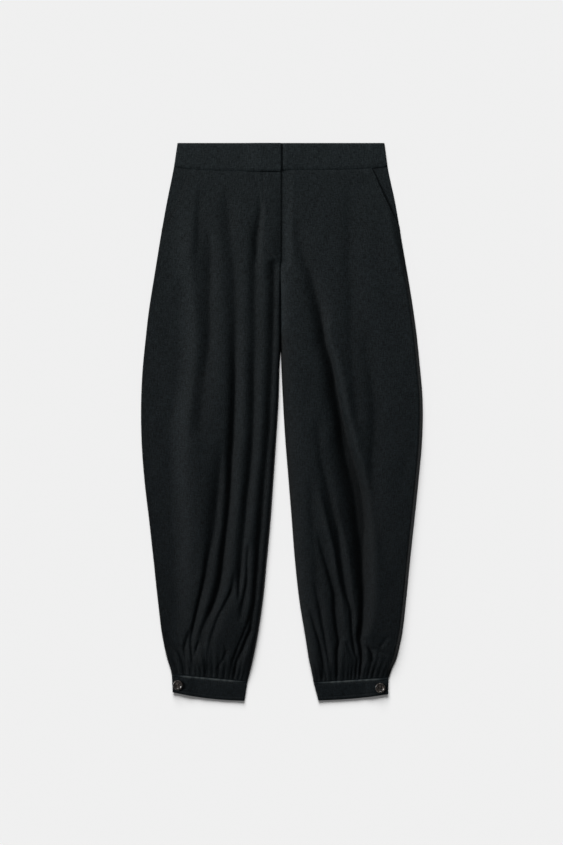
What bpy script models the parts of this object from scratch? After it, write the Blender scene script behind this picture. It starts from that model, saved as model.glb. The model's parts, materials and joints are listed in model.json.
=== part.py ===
"""Balloon trousers laid flat on their back, with the front side up.

Tables and sizes are in millimetres, and MM turns them into metres. X runs across the garment, to the
wearer's left. Y runs along it, to the waist. Z points up from the surface that it lies on. "down" is the
distance from the waistband's top edge, measured along the garment.

Each leg is a flattened tube: a back panel that lies on the floor and a front panel above it, which meet
at the two rolled edges. A panel is a wall through rows of points. Its outer points come from a formula,
and its inner points lie one cloth thickness behind them, along the normals.
"""
import bmesh
import bpy
import numpy as np

MM = 0.001
TOP = 506.0
SEAM = 0.3
EDGE_GAP = 0.5

CLOTH = 1.2
BAND_CLOTH = 2.0
CUFF_CLOTH = 1.8

EDGE_RADIUS = 2.25
HIP_RADIUS = 1.5
BAND_RADIUS = 2.6
LOWEST_FRONT = 2.95
LOWEST_AT_GATHERS = 3.8
POCKET_SIDE_TOP = 3.0

CENTRE = -1.8
CROTCH = 330.0
FLY_END = 209.0
FLY_UNDERLAP = 9.0
BAND_UNDERLAP = 30.0
BAND_SIDE_HEIGHT = 41.0
BAND_BACK_HEIGHT = 41.0
BAND_LIFT = 1.8
BAND_LIFT_RAMP = 19.0
BAND_LIFT_CLEAR = 5.0
BAND_RISE_REACH = 40.0
BAND_TUCK = 0.85

POCKET_TOP = 48.0
POCKET_TOP_X = 166.0
POCKET_END = 156.0
POCKET_END_X = 217.0
POCKET_UNDER = 12.0
# Below its mouth the front's edge turns down to the side seam over this stretch of the rows.
POCKET_TURN = (POCKET_END - 6.0, POCKET_END + 10.0)
HIP_TURN = (POCKET_END - 10.0, POCKET_END + 12.0)
CROTCH_TURN = (CROTCH - 16.0, CROTCH + 16.0)
FLY_TURN = (FLY_END - 6.0, FLY_END + 6.0)
FLY_TUCK_FADE = (FLY_END + 7.0, FLY_END + 22.0)
FLY_TUCK_RAMP = (3.0, 11.0)
BAND_TUCK_RAMP = (0.0, 9.0)

BUTTON_RADIUS = 9.0
BUTTON_THICK = 3.4
BUTTON_DISH = 2.2
BUTTON_SIDES = 20
BUTTON_HOLE_RADIUS = 1.0
BUTTON_HOLE_SPACING = 4.2
BUTTON_HOLE_SIDES = 8
BUTTON_TURN = (0.8, 0.6)
# A turned profile from the base's edge to the middle: share of the radius, height.
BUTTON_PROFILE = ((0.72, 0.0), (0.95, 0.9), (1.0, 1.9), (0.95, 3.0), (0.84, 3.4), (0.7, 3.1), (0.55, 2.3))

# A row for each section: down, then the places of the outer and inner edges of both legs.
OUTLINE_COLUMNS = ("down", "outer_r", "inner_r", "inner_l", "outer_l")
OUTLINE = np.array((
    (0.0, 189.6, 1.8, -1.8, 186.7),
    (45.2, 196.5, 1.8, -1.8, 192.9),
    (103.3, 208.2, 1.8, -1.8, 205.3),
    (175.9, 221.1, 1.8, -1.8, 217.8),
    (248.5, 232.5, 1.8, -1.8, 230.0),
    (321.1, 242.7, 1.8, -1.8, 240.5),
    (347.0, 245.5, 2.1, -1.5, 243.9),
    (393.7, 250.4, 3.3, -1.2, 248.7),
    (466.3, 254.5, 5.7, 2.0, 254.8),
    (538.9, 253.8, 10.2, 6.4, 253.8),
    (611.5, 248.5, 15.1, 12.3, 247.4),
    (684.1, 240.0, 20.3, 18.1, 239.9),
    (756.7, 232.0, 26.9, 23.8, 232.1),
    (829.3, 224.2, 34.1, 31.8, 224.9),
    (901.9, 214.9, 45.2, 43.7, 215.8),
    (938.2, 207.5, 52.6, 49.4, 207.5),
    (956.4, 201.9, 57.0, 53.4, 199.4),
    (976.0, 198.8, 61.9, 57.3, 193.4),
))

# A row for each section. Its columns are down and then how far each long crease lies from the centre line:
# down, crease_1, crease_2, crease_3, crease_4, crease_5
CREASE_PATHS = {
    "r": np.array((
        (50.0, 18.5, 45.0, 107.0, 140.0, 186.0),
        (176.0, 19.6, 50.5, 108.5, 148.8, 188.0),
        (285.0, 21.4, 55.4, 94.0, 139.4, 189.5),
        (394.0, 25.0, 57.7, 90.4, 146.6, 197.5),
        (503.0, 28.7, 58.6, 93.5, 159.0, 205.0),
        (611.5, 37.9, 64.9, 97.6, 150.0, 208.0),
        (684.0, 43.2, 71.0, 104.9, 136.0, 206.0),
        (757.0, 48.6, 78.6, 113.4, 139.4, 196.0),
        (829.0, 59.5, 92.2, 126.7, 152.1, 186.0),
        (902.0, 72.0, 110.0, 152.0, 176.0, 194.0),
        (945.0, 84.9, 114.0, 165.0, 181.0, 194.0),
    )),
    "l": np.array((
        (50.0, 8.0, 12.0, 20.0, 75.0, 108.0),
        (176.0, 8.5, 14.0, 24.0, 78.0, 112.5),
        (285.0, 12.0, 28.0, 55.0, 89.5, 120.0),
        (394.0, 18.0, 38.0, 78.5, 114.7, 138.0),
        (503.0, 28.0, 56.0, 95.5, 129.0, 160.0),
        (611.5, 42.1, 74.0, 114.5, 140.0, 169.0),
        (684.0, 48.0, 91.0, 129.0, 153.0, 178.0),
        (757.0, 56.6, 103.0, 137.0, 156.0, 184.0),
        (829.0, 74.0, 118.0, 138.3, 160.0, 184.0),
        (902.0, 80.0, 127.0, 142.0, 164.0, 186.0),
        (945.0, 82.0, 115.0, 142.0, 164.0, 186.0),
    )),
}

# A row for each crease, inner one first. Its columns:
# start, full, full_to, end, depth, inner_width, outer_width
CREASES = {
    "r": np.array((
        (95.0, 300.0, 900.0, 975.0, 3.6, 7.0, 8.0),
        (95.0, 330.0, 890.0, 975.0, 4.2, 9.0, 9.0),
        (90.0, 300.0, 890.0, 960.0, 5.2, 11.0, 9.0),
        (130.0, 320.0, 850.0, 950.0, 2.6, 10.0, 12.0),
        (240.0, 400.0, 500.0, 660.0, 1.6, 14.0, 15.0),
    )),
    "l": np.array((
        (560.0, 680.0, 860.0, 950.0, 3.2, 8.0, 7.0),
        (390.0, 540.0, 850.0, 940.0, 3.8, 10.0, 8.0),
        (170.0, 330.0, 900.0, 970.0, 6.0, 19.0, 7.0),
        (230.0, 340.0, 480.0, 640.0, 1.8, 12.0, 12.0),
        (120.0, 260.0, 600.0, 760.0, 1.7, 15.0, 15.0),
    )),
}
CREASE_MARKS = {"r": (3, 7, 12, 17, 21), "l": (3, 7, 12, 16, 20)}

# How high the front cloth stands over its edges, in the middle of the leg. Its columns: down, height
LOFT = np.array((
    (45.0, 0.0),
    (120.0, 1.2),
    (250.0, 3.2),
    (400.0, 5.2),
    (600.0, 6.2),
    (800.0, 6.8),
    (900.0, 7.4),
    (940.0, 5.6),
    (966.0, 1.6),
    (980.0, 1.0),
))

LOFT_REACH = 26.0
LOWEST_SOFTNESS = 0.35
CREASE_POWER = 1.5
# Creases and gathers die away towards a panel's edges, over these shares of the loft and of the width.
CREASE_FADE = 0.35
GATHER_FADE = 0.06
BACK_GATHER_FADE = 0.1
# Stretches of the rows, as distances down, over which one rule gives way to the next.
WAIST_BLEND = (60.0, 145.0)
POCKET_WAIST_BLEND = (60.0, 110.0)
CUFF_BLEND = (780.0, 966.0)
EVEN_COLUMNS = (700.0, 830.0)
LOWEST_RISE = (790.0, 880.0)
ROW_PASSES = 3

ACROSS = 26
ARC_STEPS = 2
BACK_ACROSS = 14
BAND_ACROSS = 14
POCKET_ACROSS = 5
POCKET_ROWS = (42, 72, 100, 125, 140, 148)
FRONT_ROWS = (50, 92, 125, 147, 157, 168, 203, 216, 262, 312, 330, 348, 395, 445, 500, 555, 610, 665, 715,
              765, 805, 838)
BACK_ROWS = (41.3, 100, 146, 158, 168, 250, 312, 330, 348, 420, 500, 590, 680, 770, 850)
FRONT_GATHER_ROWS = (864, 888, 908, 925, 939, 951, 960, 966)
BACK_GATHER_ROWS = (890, 920, 942, 956, 966)
CUFF_LINE = 966.0

# The steps between gathers along the cuff, in fine columns, and how far up the leg each one runs.
GATHER_STEPS = (4, 4, 3, 4, 5, 4, 4, 3, 4, 4, 5, 4)
GATHER_LENGTHS = (46.0, 30.0, 62.0, 38.0, 74.0, 34.0, 54.0, 28.0, 66.0, 40.0, 50.0, 32.0)
GATHER_WIDTH = 1.1
GATHER_AT_SEAM = 0.45
GATHER_SWELL = 12.0
GATHER_DEPTH = 2.3
BACK_GATHER_DEPTH = 0.9

# The four corners of each cuff, as distance from the centre line and down, and the bow of its lower edge.
CUFF_CORNERS = {
    "r": {"inner_top": (62.3, 976.8), "outer_top": (199.3, 964.3),
          "inner_bottom": (67.7, 1012.0), "outer_bottom": (197.6, 996.5), "bow": 3.6},
    "l": {"inner_top": (57.5, 978.5), "outer_top": (193.3, 970.3),
          "inner_bottom": (66.2, 1011.4), "outer_bottom": (192.8, 999.9), "bow": 2.4},
}
CUFF_UNDERLAP = 24.0
CUFF_FOLD = 2.5
CUFF_LAP_INSET = 0.4
CUFF_LIFT_RAMP = 18.0
CUFF_LIFT_CLEAR = 4.0
CUFF_LAP_TOP = 6.2
CUFF_FRONT_STEPS = 9
CUFF_BACK_STEPS = 7
CUFF_FOLD_STEPS = 5
BUTTON_PLACES = {"r": (188.6, 983.6), "l": (178.6, 988.4)}
LINEN_COLOUR = (0.012, 0.016, 0.018)
LINEN_ROUGHNESS = 0.85
HORN_COLOUR = (0.02, 0.017, 0.015)
HORN_ROUGHNESS = 0.25

WEARER_SIDE = {"r": -1.0, "l": 1.0}
BAND_RISE = {"r": 9.4, "l": 7.4}


def clear_scene():
    """Remove whatever the file holds."""
    for item in list(bpy.data.objects):
        bpy.data.objects.remove(item, do_unlink=True)


def smooth_step(low, high, value):
    """0 below low, 1 above high, and a smooth cubic between them."""
    share = np.clip((np.asarray(value, dtype=float) - low) / (high - low), 0.0, 1.0)
    return share * share * (3.0 - 2.0 * share)


def smooth_table(places, values, at):
    """A smooth curve through a table: cubic pieces whose slopes come from the neighbouring rows."""
    at = np.clip(at, places[0], places[-1])
    slopes = np.gradient(values, places)
    row = np.clip(np.searchsorted(places, at, side="right") - 1, 0, len(places) - 2)
    step = places[row + 1] - places[row]
    share = (at - places[row]) / step
    start = (1 + 2 * share) * (1 - share) ** 2 * values[row] + share * (1 - share) ** 2 * step * slopes[row]
    end = share ** 2 * (3 - 2 * share) * values[row + 1] - share ** 2 * (1 - share) * step * slopes[row + 1]
    return start + end


def outline(edge, down):
    """How far an edge of the outline lies from the garment's own zero line, at a distance down."""
    column = OUTLINE_COLUMNS.index(edge)
    return smooth_table(OUTLINE[:, 0], OUTLINE[:, column], down)


def inner_edge(leg, down):
    """The inner edge of a leg: the centre seam above the crotch, the inner leg seam below it."""
    centre = WEARER_SIDE[leg] * CENTRE + SEAM / 2
    leg_edge = np.maximum(outline("inner_" + leg, down), centre)
    return np.where(down < CROTCH, centre, leg_edge)


def pocket_line(down):
    """The slanted pocket mouth: a straight line from the waist seam to the side."""
    share = (down - POCKET_TOP) / (POCKET_END - POCKET_TOP)
    return POCKET_TOP_X + share * (POCKET_END_X - POCKET_TOP_X)


def band_height(leg, across):
    """The waistband's height, lowest at the side and rising to its full height towards the centre."""
    from_side = np.maximum(outline("outer_" + leg, BAND_SIDE_HEIGHT) - across, 0.0)
    return BAND_SIDE_HEIGHT + BAND_RISE[leg] * (1.0 - np.exp(-from_side / BAND_RISE_REACH))


def cuff_point(leg, share, along):
    """A place on a cuff: share runs from its inner to its outer end, along from its top to its bottom."""
    corners = {name: np.array(value) for name, value in CUFF_CORNERS[leg].items() if name != "bow"}
    share = np.asarray(share, dtype=float)[..., None]
    along = np.asarray(along, dtype=float)[..., None]
    upper = corners["inner_top"] * (1 - share) + corners["outer_top"] * share
    lower = corners["inner_bottom"] * (1 - share) + corners["outer_bottom"] * share
    place = upper * (1 - along) + lower * along
    bow = CUFF_CORNERS[leg]["bow"] * 4.0 * share * (1 - share) * along
    return place[..., 0], place[..., 1] + bow[..., 0]


def quarter_arc(radius):
    """Length of the rolled edge, which stops just short of a quarter round and so clears the other panel."""
    return radius * (np.pi / 2 - np.arcsin(EDGE_GAP / 2 / radius))


def rolled_strip(length, roll, radius):
    """How far a strip at a panel's edge reaches and drops: flat when roll is 0, a quarter round at 1."""
    bend = np.maximum(roll, 0.001) / radius
    return np.sin(bend * length) / bend, (1.0 - np.cos(bend * length)) / bend


def crease_shape(offset, inner_width, outer_width):
    """A valley, 1 at its bottom, with its own width on each side."""
    width = np.where(offset < 0, inner_width, outer_width)
    return np.exp(-np.abs(offset / width) ** CREASE_POWER)


def gathers(leg, share, above_cuff, fade):
    """Valleys that fan up from the cuff, each with its own length, deepest just above the seam."""
    order = 1 if leg == "r" else -1
    marks = np.cumsum(GATHER_STEPS[::order]) + 1
    columns = share * 2 * ACROSS
    total = np.zeros_like(columns)
    for mark, length in zip(marks, GATHER_LENGTHS[::order]):
        total += np.exp(-((columns - mark) / GATHER_WIDTH) ** 2 - (above_cuff / length) ** 2)
    at_edges = smooth_step(0.0, fade, share) * smooth_step(0.0, fade, 1 - share)
    at_seam = GATHER_AT_SEAM + (1 - GATHER_AT_SEAM) * smooth_step(0.0, GATHER_SWELL, above_cuff)
    return total * at_edges * at_seam


def front_height(leg, across, down, share, side):
    """Height of the front cloth: a loft over the edges, less the long creases and the gathers."""
    from_inner = np.maximum(across - inner_edge(leg, down), 0.0)
    from_side = np.maximum(side - across, 0.0)
    middle = (1 - np.exp(-from_inner / LOFT_REACH)) * (1 - np.exp(-from_side / LOFT_REACH))
    loft = smooth_table(LOFT[:, 0], LOFT[:, 1], down) * middle
    paths = CREASE_PATHS[leg]
    valleys = np.zeros_like(loft)
    for number, crease in enumerate(CREASES[leg]):
        start, full, full_to, end, depth, inner_width, outer_width = crease
        strength = smooth_step(start, full, down) * (1 - smooth_step(full_to, end, down))
        line = smooth_table(paths[:, 0], paths[:, number + 1], down)
        valleys += depth * strength * crease_shape(across - line, inner_width, outer_width)
    valleys += GATHER_DEPTH * gathers(leg, share, CUFF_LINE - down, GATHER_FADE)
    height = 2 * EDGE_RADIUS + loft - valleys * smooth_step(0.0, CREASE_FADE, middle)
    lowest = LOWEST_FRONT + (LOWEST_AT_GATHERS - LOWEST_FRONT) * smooth_step(*LOWEST_RISE, down)
    return lowest + LOWEST_SOFTNESS * np.log1p(np.exp((height - lowest) / LOWEST_SOFTNESS))


def make_material(name, colour, roughness):
    """A plain finish in the cloth's or the button's own colour."""
    material = bpy.data.materials.new(name)
    material.use_nodes = True
    shader = material.node_tree.nodes["Principled BSDF"]
    shader.inputs["Base Color"].default_value = (*colour, 1.0)
    shader.inputs["Roughness"].default_value = roughness
    shader.inputs["Metallic"].default_value = 0.0
    return material


def cuff_seam(leg, share):
    """The cuff's top edge, less the seam's gap."""
    return cuff_point(leg, share, np.zeros_like(share))[1] - SEAM


def real_rows(leg, share, down, first_row, top_line):
    """Rows follow the waist seam at the top and the slanted cuff seam at the bottom."""
    to_top = (1 - smooth_step(*WAIST_BLEND, down)) * (top_line - first_row)
    to_bottom = smooth_step(*CUFF_BLEND, down) * (cuff_seam(leg, share) - CUFF_LINE)
    return down + to_top + to_bottom


def column_shares(leg, down, columns):
    """Columns follow the long creases down the leg and spread evenly near the cuff."""
    width_start = inner_edge(leg, down)
    width = outline("outer_" + leg, down) - width_start
    paths = CREASE_PATHS[leg]
    even_mix = smooth_step(*EVEN_COLUMNS, down)
    knots = [np.zeros_like(down)]
    for number, mark in enumerate(CREASE_MARKS[leg]):
        line = smooth_table(paths[:, 0], paths[:, number + 1], down)
        share = (line - width_start) / width
        knots.append(share * (1 - even_mix) + mark / ACROSS * even_mix)
    knots.append(np.ones_like(down))
    stations = np.array((0, *CREASE_MARKS[leg], ACROSS), dtype=float)
    shares = np.empty_like(columns)
    for row in range(len(down)):
        shares[row] = np.interp(columns[row], stations, [knot[row] for knot in knots])
    return shares


def front_points(leg, columns, down):
    """Outer points of a front panel. columns run from the inner edge to the outer edge."""
    inner_roll = smooth_step(*CROTCH_TURN, down)
    outer_roll = smooth_step(*POCKET_TURN, down)
    arc = quarter_arc(EDGE_RADIUS)
    inner_strip = np.clip((ARC_STEPS - columns) / ARC_STEPS, 0.0, 1.0) * arc
    outer_strip = np.clip((columns - ARC_STEPS - ACROSS) / ARC_STEPS, 0.0, 1.0) * arc
    share = column_shares(leg, down[:, 0], np.clip(columns - ARC_STEPS, 0, ACROSS))
    inner_reach, inner_drop = rolled_strip(inner_strip, inner_roll, EDGE_RADIUS)
    outer_reach, outer_drop = rolled_strip(outer_strip, outer_roll, EDGE_RADIUS)
    inner_width = rolled_strip(arc, inner_roll, EDGE_RADIUS)[0]
    outer_width = rolled_strip(arc, outer_roll, EDGE_RADIUS)[0]
    real_down = down
    for _ in range(ROW_PASSES):
        start = inner_edge(leg, real_down)
        if leg == "l":
            start = start - FLY_UNDERLAP * (1 - smooth_step(*FLY_TURN, real_down))
        side = outline("outer_" + leg, real_down)
        mouth = np.minimum(side, pocket_line(real_down))
        end = mouth + (side - mouth) * smooth_step(POCKET_TURN[0], POCKET_END, real_down)
        first = start + inner_width
        across = first + (end - outer_width - first) * share - inner_reach + outer_reach
        real_down = real_rows(leg, share, down, FRONT_ROWS[0], band_height(leg, across) + SEAM)
    height = front_height(leg, across, down, share, side)
    if leg == "l":
        under_fly = 1 - smooth_step(*FLY_TUCK_RAMP, across - CENTRE)
        under_fly = under_fly * (1 - smooth_step(*FLY_TUCK_FADE, down))
        height = height - (2 * EDGE_RADIUS - LOWEST_FRONT) * under_fly
    return WEARER_SIDE[leg] * across, TOP - real_down, height - inner_drop - outer_drop


def back_points(leg, columns, down):
    """Outer points of a back panel: flat on the floor, turned up at its rolled edges."""
    inner_roll = smooth_step(*CROTCH_TURN, down)
    radius = HIP_RADIUS + (EDGE_RADIUS - HIP_RADIUS) * smooth_step(*HIP_TURN, down)
    inner_arc = quarter_arc(EDGE_RADIUS)
    outer_arc = quarter_arc(radius)
    inner_strip = np.clip((ARC_STEPS - columns) / ARC_STEPS, 0.0, 1.0) * inner_arc
    outer_strip = np.clip((columns - ARC_STEPS - BACK_ACROSS) / ARC_STEPS, 0.0, 1.0) * outer_arc
    share = np.clip(columns - ARC_STEPS, 0, BACK_ACROSS) / BACK_ACROSS
    real_down = real_rows(leg, share, down, BACK_ROWS[0], BAND_BACK_HEIGHT + SEAM)
    inner_reach, inner_lift = rolled_strip(inner_strip, inner_roll, EDGE_RADIUS)
    outer_reach, outer_lift = rolled_strip(outer_strip, 1.0, radius)
    first = inner_edge(leg, real_down) + rolled_strip(inner_arc, inner_roll, EDGE_RADIUS)[0]
    last = outline("outer_" + leg, real_down) - rolled_strip(outer_arc, 1.0, radius)[0]
    across = first + (last - first) * share - inner_reach + outer_reach
    grooves = BACK_GATHER_DEPTH * gathers(leg, share, CUFF_LINE - down, BACK_GATHER_FADE)
    return WEARER_SIDE[leg] * across, TOP - real_down, grooves + inner_lift + outer_lift


def pocket_side_points(leg, columns, down):
    """Outer points of the facing outside the pocket mouth, which runs a little way under the front."""
    arc = quarter_arc(HIP_RADIUS)
    strip = np.clip((columns - POCKET_ACROSS) / ARC_STEPS, 0.0, 1.0) * arc
    share = np.clip(columns, 0, POCKET_ACROSS) / POCKET_ACROSS
    reach, drop = rolled_strip(strip, 1.0, HIP_RADIUS)
    real_down = down
    for _ in range(ROW_PASSES):
        start = pocket_line(real_down) - POCKET_UNDER
        end = outline("outer_" + leg, real_down) - rolled_strip(arc, 1.0, HIP_RADIUS)[0]
        across = start + (end - start) * share + reach
        to_top = band_height(leg, across) + SEAM - POCKET_ROWS[0]
        real_down = down + (1 - smooth_step(*POCKET_WAIST_BLEND, down)) * to_top
    return WEARER_SIDE[leg] * across, TOP - real_down, POCKET_SIDE_TOP - drop


def band_front_points(leg, columns, down):
    """Outer points of a front half of the waistband. The right half rises over the left half's underlap."""
    arc = quarter_arc(BAND_RADIUS)
    strip = np.clip((columns - BAND_ACROSS) / ARC_STEPS, 0.0, 1.0) * arc
    share = np.clip(columns, 0, BAND_ACROSS) / BAND_ACROSS
    reach, drop = rolled_strip(strip, 1.0, BAND_RADIUS)
    centre = WEARER_SIDE[leg] * CENTRE + SEAM / 2
    start = centre - BAND_UNDERLAP if leg == "l" else centre
    along = down / BAND_SIDE_HEIGHT
    real_down = down
    for _ in range(ROW_PASSES):
        end = outline("outer_" + leg, real_down) - rolled_strip(arc, 1.0, BAND_RADIUS)[0]
        across = start + (end - start) * share + reach
        real_down = along * band_height(leg, across)
    height = 2 * BAND_RADIUS + np.zeros_like(across)
    if leg == "l":
        height = height - BAND_TUCK * (1 - smooth_step(*BAND_TUCK_RAMP, across - centre))
    else:
        over_lap = 1 - smooth_step(0.0, BAND_LIFT_RAMP, across - BAND_UNDERLAP - BAND_LIFT_CLEAR)
        height = height + BAND_LIFT * over_lap
    return WEARER_SIDE[leg] * across, TOP - real_down, height - drop


def band_back_points(columns, down):
    """Outer points of the back waistband, from the right side to the left side, turned up at both."""
    arc = quarter_arc(BAND_RADIUS)
    right_strip = np.clip((ARC_STEPS - columns) / ARC_STEPS, 0.0, 1.0) * arc
    left_strip = np.clip((columns - ARC_STEPS - BACK_ACROSS) / ARC_STEPS, 0.0, 1.0) * arc
    share = np.clip(columns - ARC_STEPS, 0, BACK_ACROSS) / BACK_ACROSS
    right_reach, right_lift = rolled_strip(right_strip, 1.0, BAND_RADIUS)
    left_reach, left_lift = rolled_strip(left_strip, 1.0, BAND_RADIUS)
    width = rolled_strip(arc, 1.0, BAND_RADIUS)[0]
    first = width - outline("outer_r", down)
    last = outline("outer_l", down) - width
    across = first + (last - first) * share - right_reach + left_reach
    return across, TOP - down, right_lift + left_lift


def surface_normals(points, columns, down, step=0.02):
    """Unit normals from the change of the points along the columns and along the rows."""
    ahead = np.stack(points(columns + step, down), axis=-1) - np.stack(points(columns - step, down), axis=-1)
    below = np.stack(points(columns, down + step), axis=-1) - np.stack(points(columns, down - step), axis=-1)
    normal = np.cross(ahead, below)
    return normal / np.linalg.norm(normal, axis=-1, keepdims=True)


def bridge(upper, lower):
    """Faces between two rows of points. The lower row may have twice as many steps as the upper one."""
    faces = []
    if len(upper) == len(lower):
        for number in range(len(upper) - 1):
            faces.append((upper[number], upper[number + 1], lower[number + 1], lower[number]))
        return faces
    for number in range(len(upper) - 1):
        left, right = upper[number], upper[number + 1]
        first, middle, last = lower[2 * number:2 * number + 3]
        faces += [(left, middle, first), (left, right, middle), (right, last, middle)]
    return faces


def wall(name, material, outer_rows, inner_rows):
    """A closed wall between two sheets of points that are given row by row."""
    points = [point for sheet in (outer_rows, inner_rows) for row in sheet for point in row]
    starts = np.cumsum([0] + [len(row) for row in outer_rows] * 2)
    numbers = [list(range(first, last)) for first, last in zip(starts[:-1], starts[1:])]
    outer, inner = numbers[:len(outer_rows)], numbers[len(outer_rows):]
    faces = []
    for number in range(len(outer) - 1):
        faces += bridge(outer[number], outer[number + 1])
        faces += [face[::-1] for face in bridge(inner[number], inner[number + 1])]
        for end in (0, -1):
            above, below = number, number + 1
            faces.append((outer[above][end], outer[below][end], inner[below][end], inner[above][end]))
    for row in (0, -1):
        faces += bridge(outer[row], inner[row])
    return make_object(name, material, points, faces)


def make_object(name, material, points, faces):
    """A named mesh object whose faces are triangles and point outwards."""
    mesh = bpy.data.meshes.new(name)
    mesh.from_pydata([tuple(np.asarray(point) * MM) for point in points], [], faces)
    form = bmesh.new()
    form.from_mesh(mesh)
    bmesh.ops.recalc_face_normals(form, faces=form.faces)
    bmesh.ops.triangulate(form, faces=form.faces)
    form.to_mesh(mesh)
    form.free()
    mesh.materials.append(material)
    mesh.shade_smooth()
    mesh.set_sharp_from_angle(angle=np.radians(40.0))
    item = bpy.data.objects.new(name, mesh)
    bpy.context.scene.collection.objects.link(item)
    return item


def panel(name, material, points, row_groups, last_column, inward):
    """A wall from a formula for its outer points. Each group of rows has its own step between columns.

    inward is the cloth's thickness, with the sign that takes the formula's normals into the garment."""
    outer_rows, inner_rows = [], []
    for rows, step in row_groups:
        places = np.arange(0.0, last_column + step / 2, step)
        columns, down = np.meshgrid(places, np.array(rows, dtype=float))
        outer = np.stack(points(columns, down), axis=-1)
        normal = surface_normals(points, columns, down)
        outer_rows += list(outer)
        inner_rows += list(outer + normal * inward)
    return wall(name, material, outer_rows, inner_rows)


def make_leg(leg, cloth):
    """The front, the back and the pocket facing of one leg."""
    into = WEARER_SIDE[leg] * CLOTH
    panel("front_panel_" + leg, cloth, lambda columns, down: front_points(leg, columns, down),
          ((FRONT_ROWS, 1.0), (FRONT_GATHER_ROWS, 0.5)), ACROSS + 2 * ARC_STEPS, into)
    panel("back_panel_" + leg, cloth, lambda columns, down: back_points(leg, columns, down),
          ((BACK_ROWS, 1.0), (BACK_GATHER_ROWS, 0.5)), BACK_ACROSS + 2 * ARC_STEPS, -into)
    panel("pocket_side_" + leg, cloth, lambda columns, down: pocket_side_points(leg, columns, down),
          ((POCKET_ROWS, 1.0),), POCKET_ACROSS + ARC_STEPS, into)


def make_waistband(cloth):
    """Two front halves that lap at the fly, and one back."""
    front_rows = (0.0, BAND_SIDE_HEIGHT / 2, BAND_SIDE_HEIGHT)
    back_rows = (0.0, BAND_BACK_HEIGHT / 2, BAND_BACK_HEIGHT)
    for leg in ("r", "l"):
        panel("waistband_front_" + leg, cloth, lambda columns, down: band_front_points(leg, columns, down),
              ((front_rows, 1.0),), BAND_ACROSS + ARC_STEPS, WEARER_SIDE[leg] * BAND_CLOTH)
    panel("waistband_back", cloth, band_back_points,
          ((back_rows, 1.0),), BACK_ACROSS + 2 * ARC_STEPS, -BAND_CLOTH)


def half_round(centre, radius, start_angle, steps):
    """Points on a half circle in a cuff's section, going round towards the floor or up from it."""
    angles = np.radians(start_angle) + np.pi * np.arange(1, steps) / steps
    return [(centre + radius * np.cos(angle), radius + radius * np.sin(angle)) for angle in angles]


def cuff_section(width):
    """A cuff's section, as distance from its inner edge and height, from its buttonhole end to its underlap."""
    lap_radius = CUFF_CLOTH + SEAM / 2
    front = np.linspace(width - CUFF_LAP_INSET, CUFF_FOLD, CUFF_FRONT_STEPS + 1)
    over_lap = smooth_step(-CUFF_LIFT_RAMP, 0.0, front - width + CUFF_UNDERLAP + CUFF_LIFT_CLEAR)
    section = list(zip(front, 2 * CUFF_FOLD + (CUFF_LAP_TOP - 2 * CUFF_FOLD) * over_lap))
    section += half_round(CUFF_FOLD, CUFF_FOLD, 90.0, CUFF_FOLD_STEPS)
    section += [(place, 0.0) for place in np.linspace(CUFF_FOLD, width - lap_radius, CUFF_BACK_STEPS + 1)]
    section += half_round(width - lap_radius, lap_radius, -90.0, CUFF_FOLD_STEPS)
    section += [(width - lap_radius, 2 * lap_radius), (width - CUFF_UNDERLAP, 2 * lap_radius)]
    return np.array(section, dtype=float)


def make_cuff(leg, cloth):
    """One strip folded round the ankle. Its buttonhole end lies on its underlap at the outer side."""
    outer_rows, inner_rows = [], []
    for along in (0.0, 0.5, 1.0):
        ends = [cuff_point(leg, np.array(share), np.array(along))[0] for share in (0.0, 1.0)]
        width = float(ends[1] - ends[0])
        outer = cuff_section(width)
        tangent = np.gradient(outer, axis=0)
        tangent /= np.linalg.norm(tangent, axis=1, keepdims=True)
        inner = outer + np.stack((-tangent[:, 1], tangent[:, 0]), axis=1) * CUFF_CLOTH
        for sheet, rows in ((outer, outer_rows), (inner, inner_rows)):
            across, down = cuff_point(leg, sheet[:, 0] / width, np.full(len(sheet), along))
            rows.append(np.stack((WEARER_SIDE[leg] * across, TOP - down, sheet[:, 1]), axis=1))
    return wall("cuff_" + leg, cloth, outer_rows, inner_rows)


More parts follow.
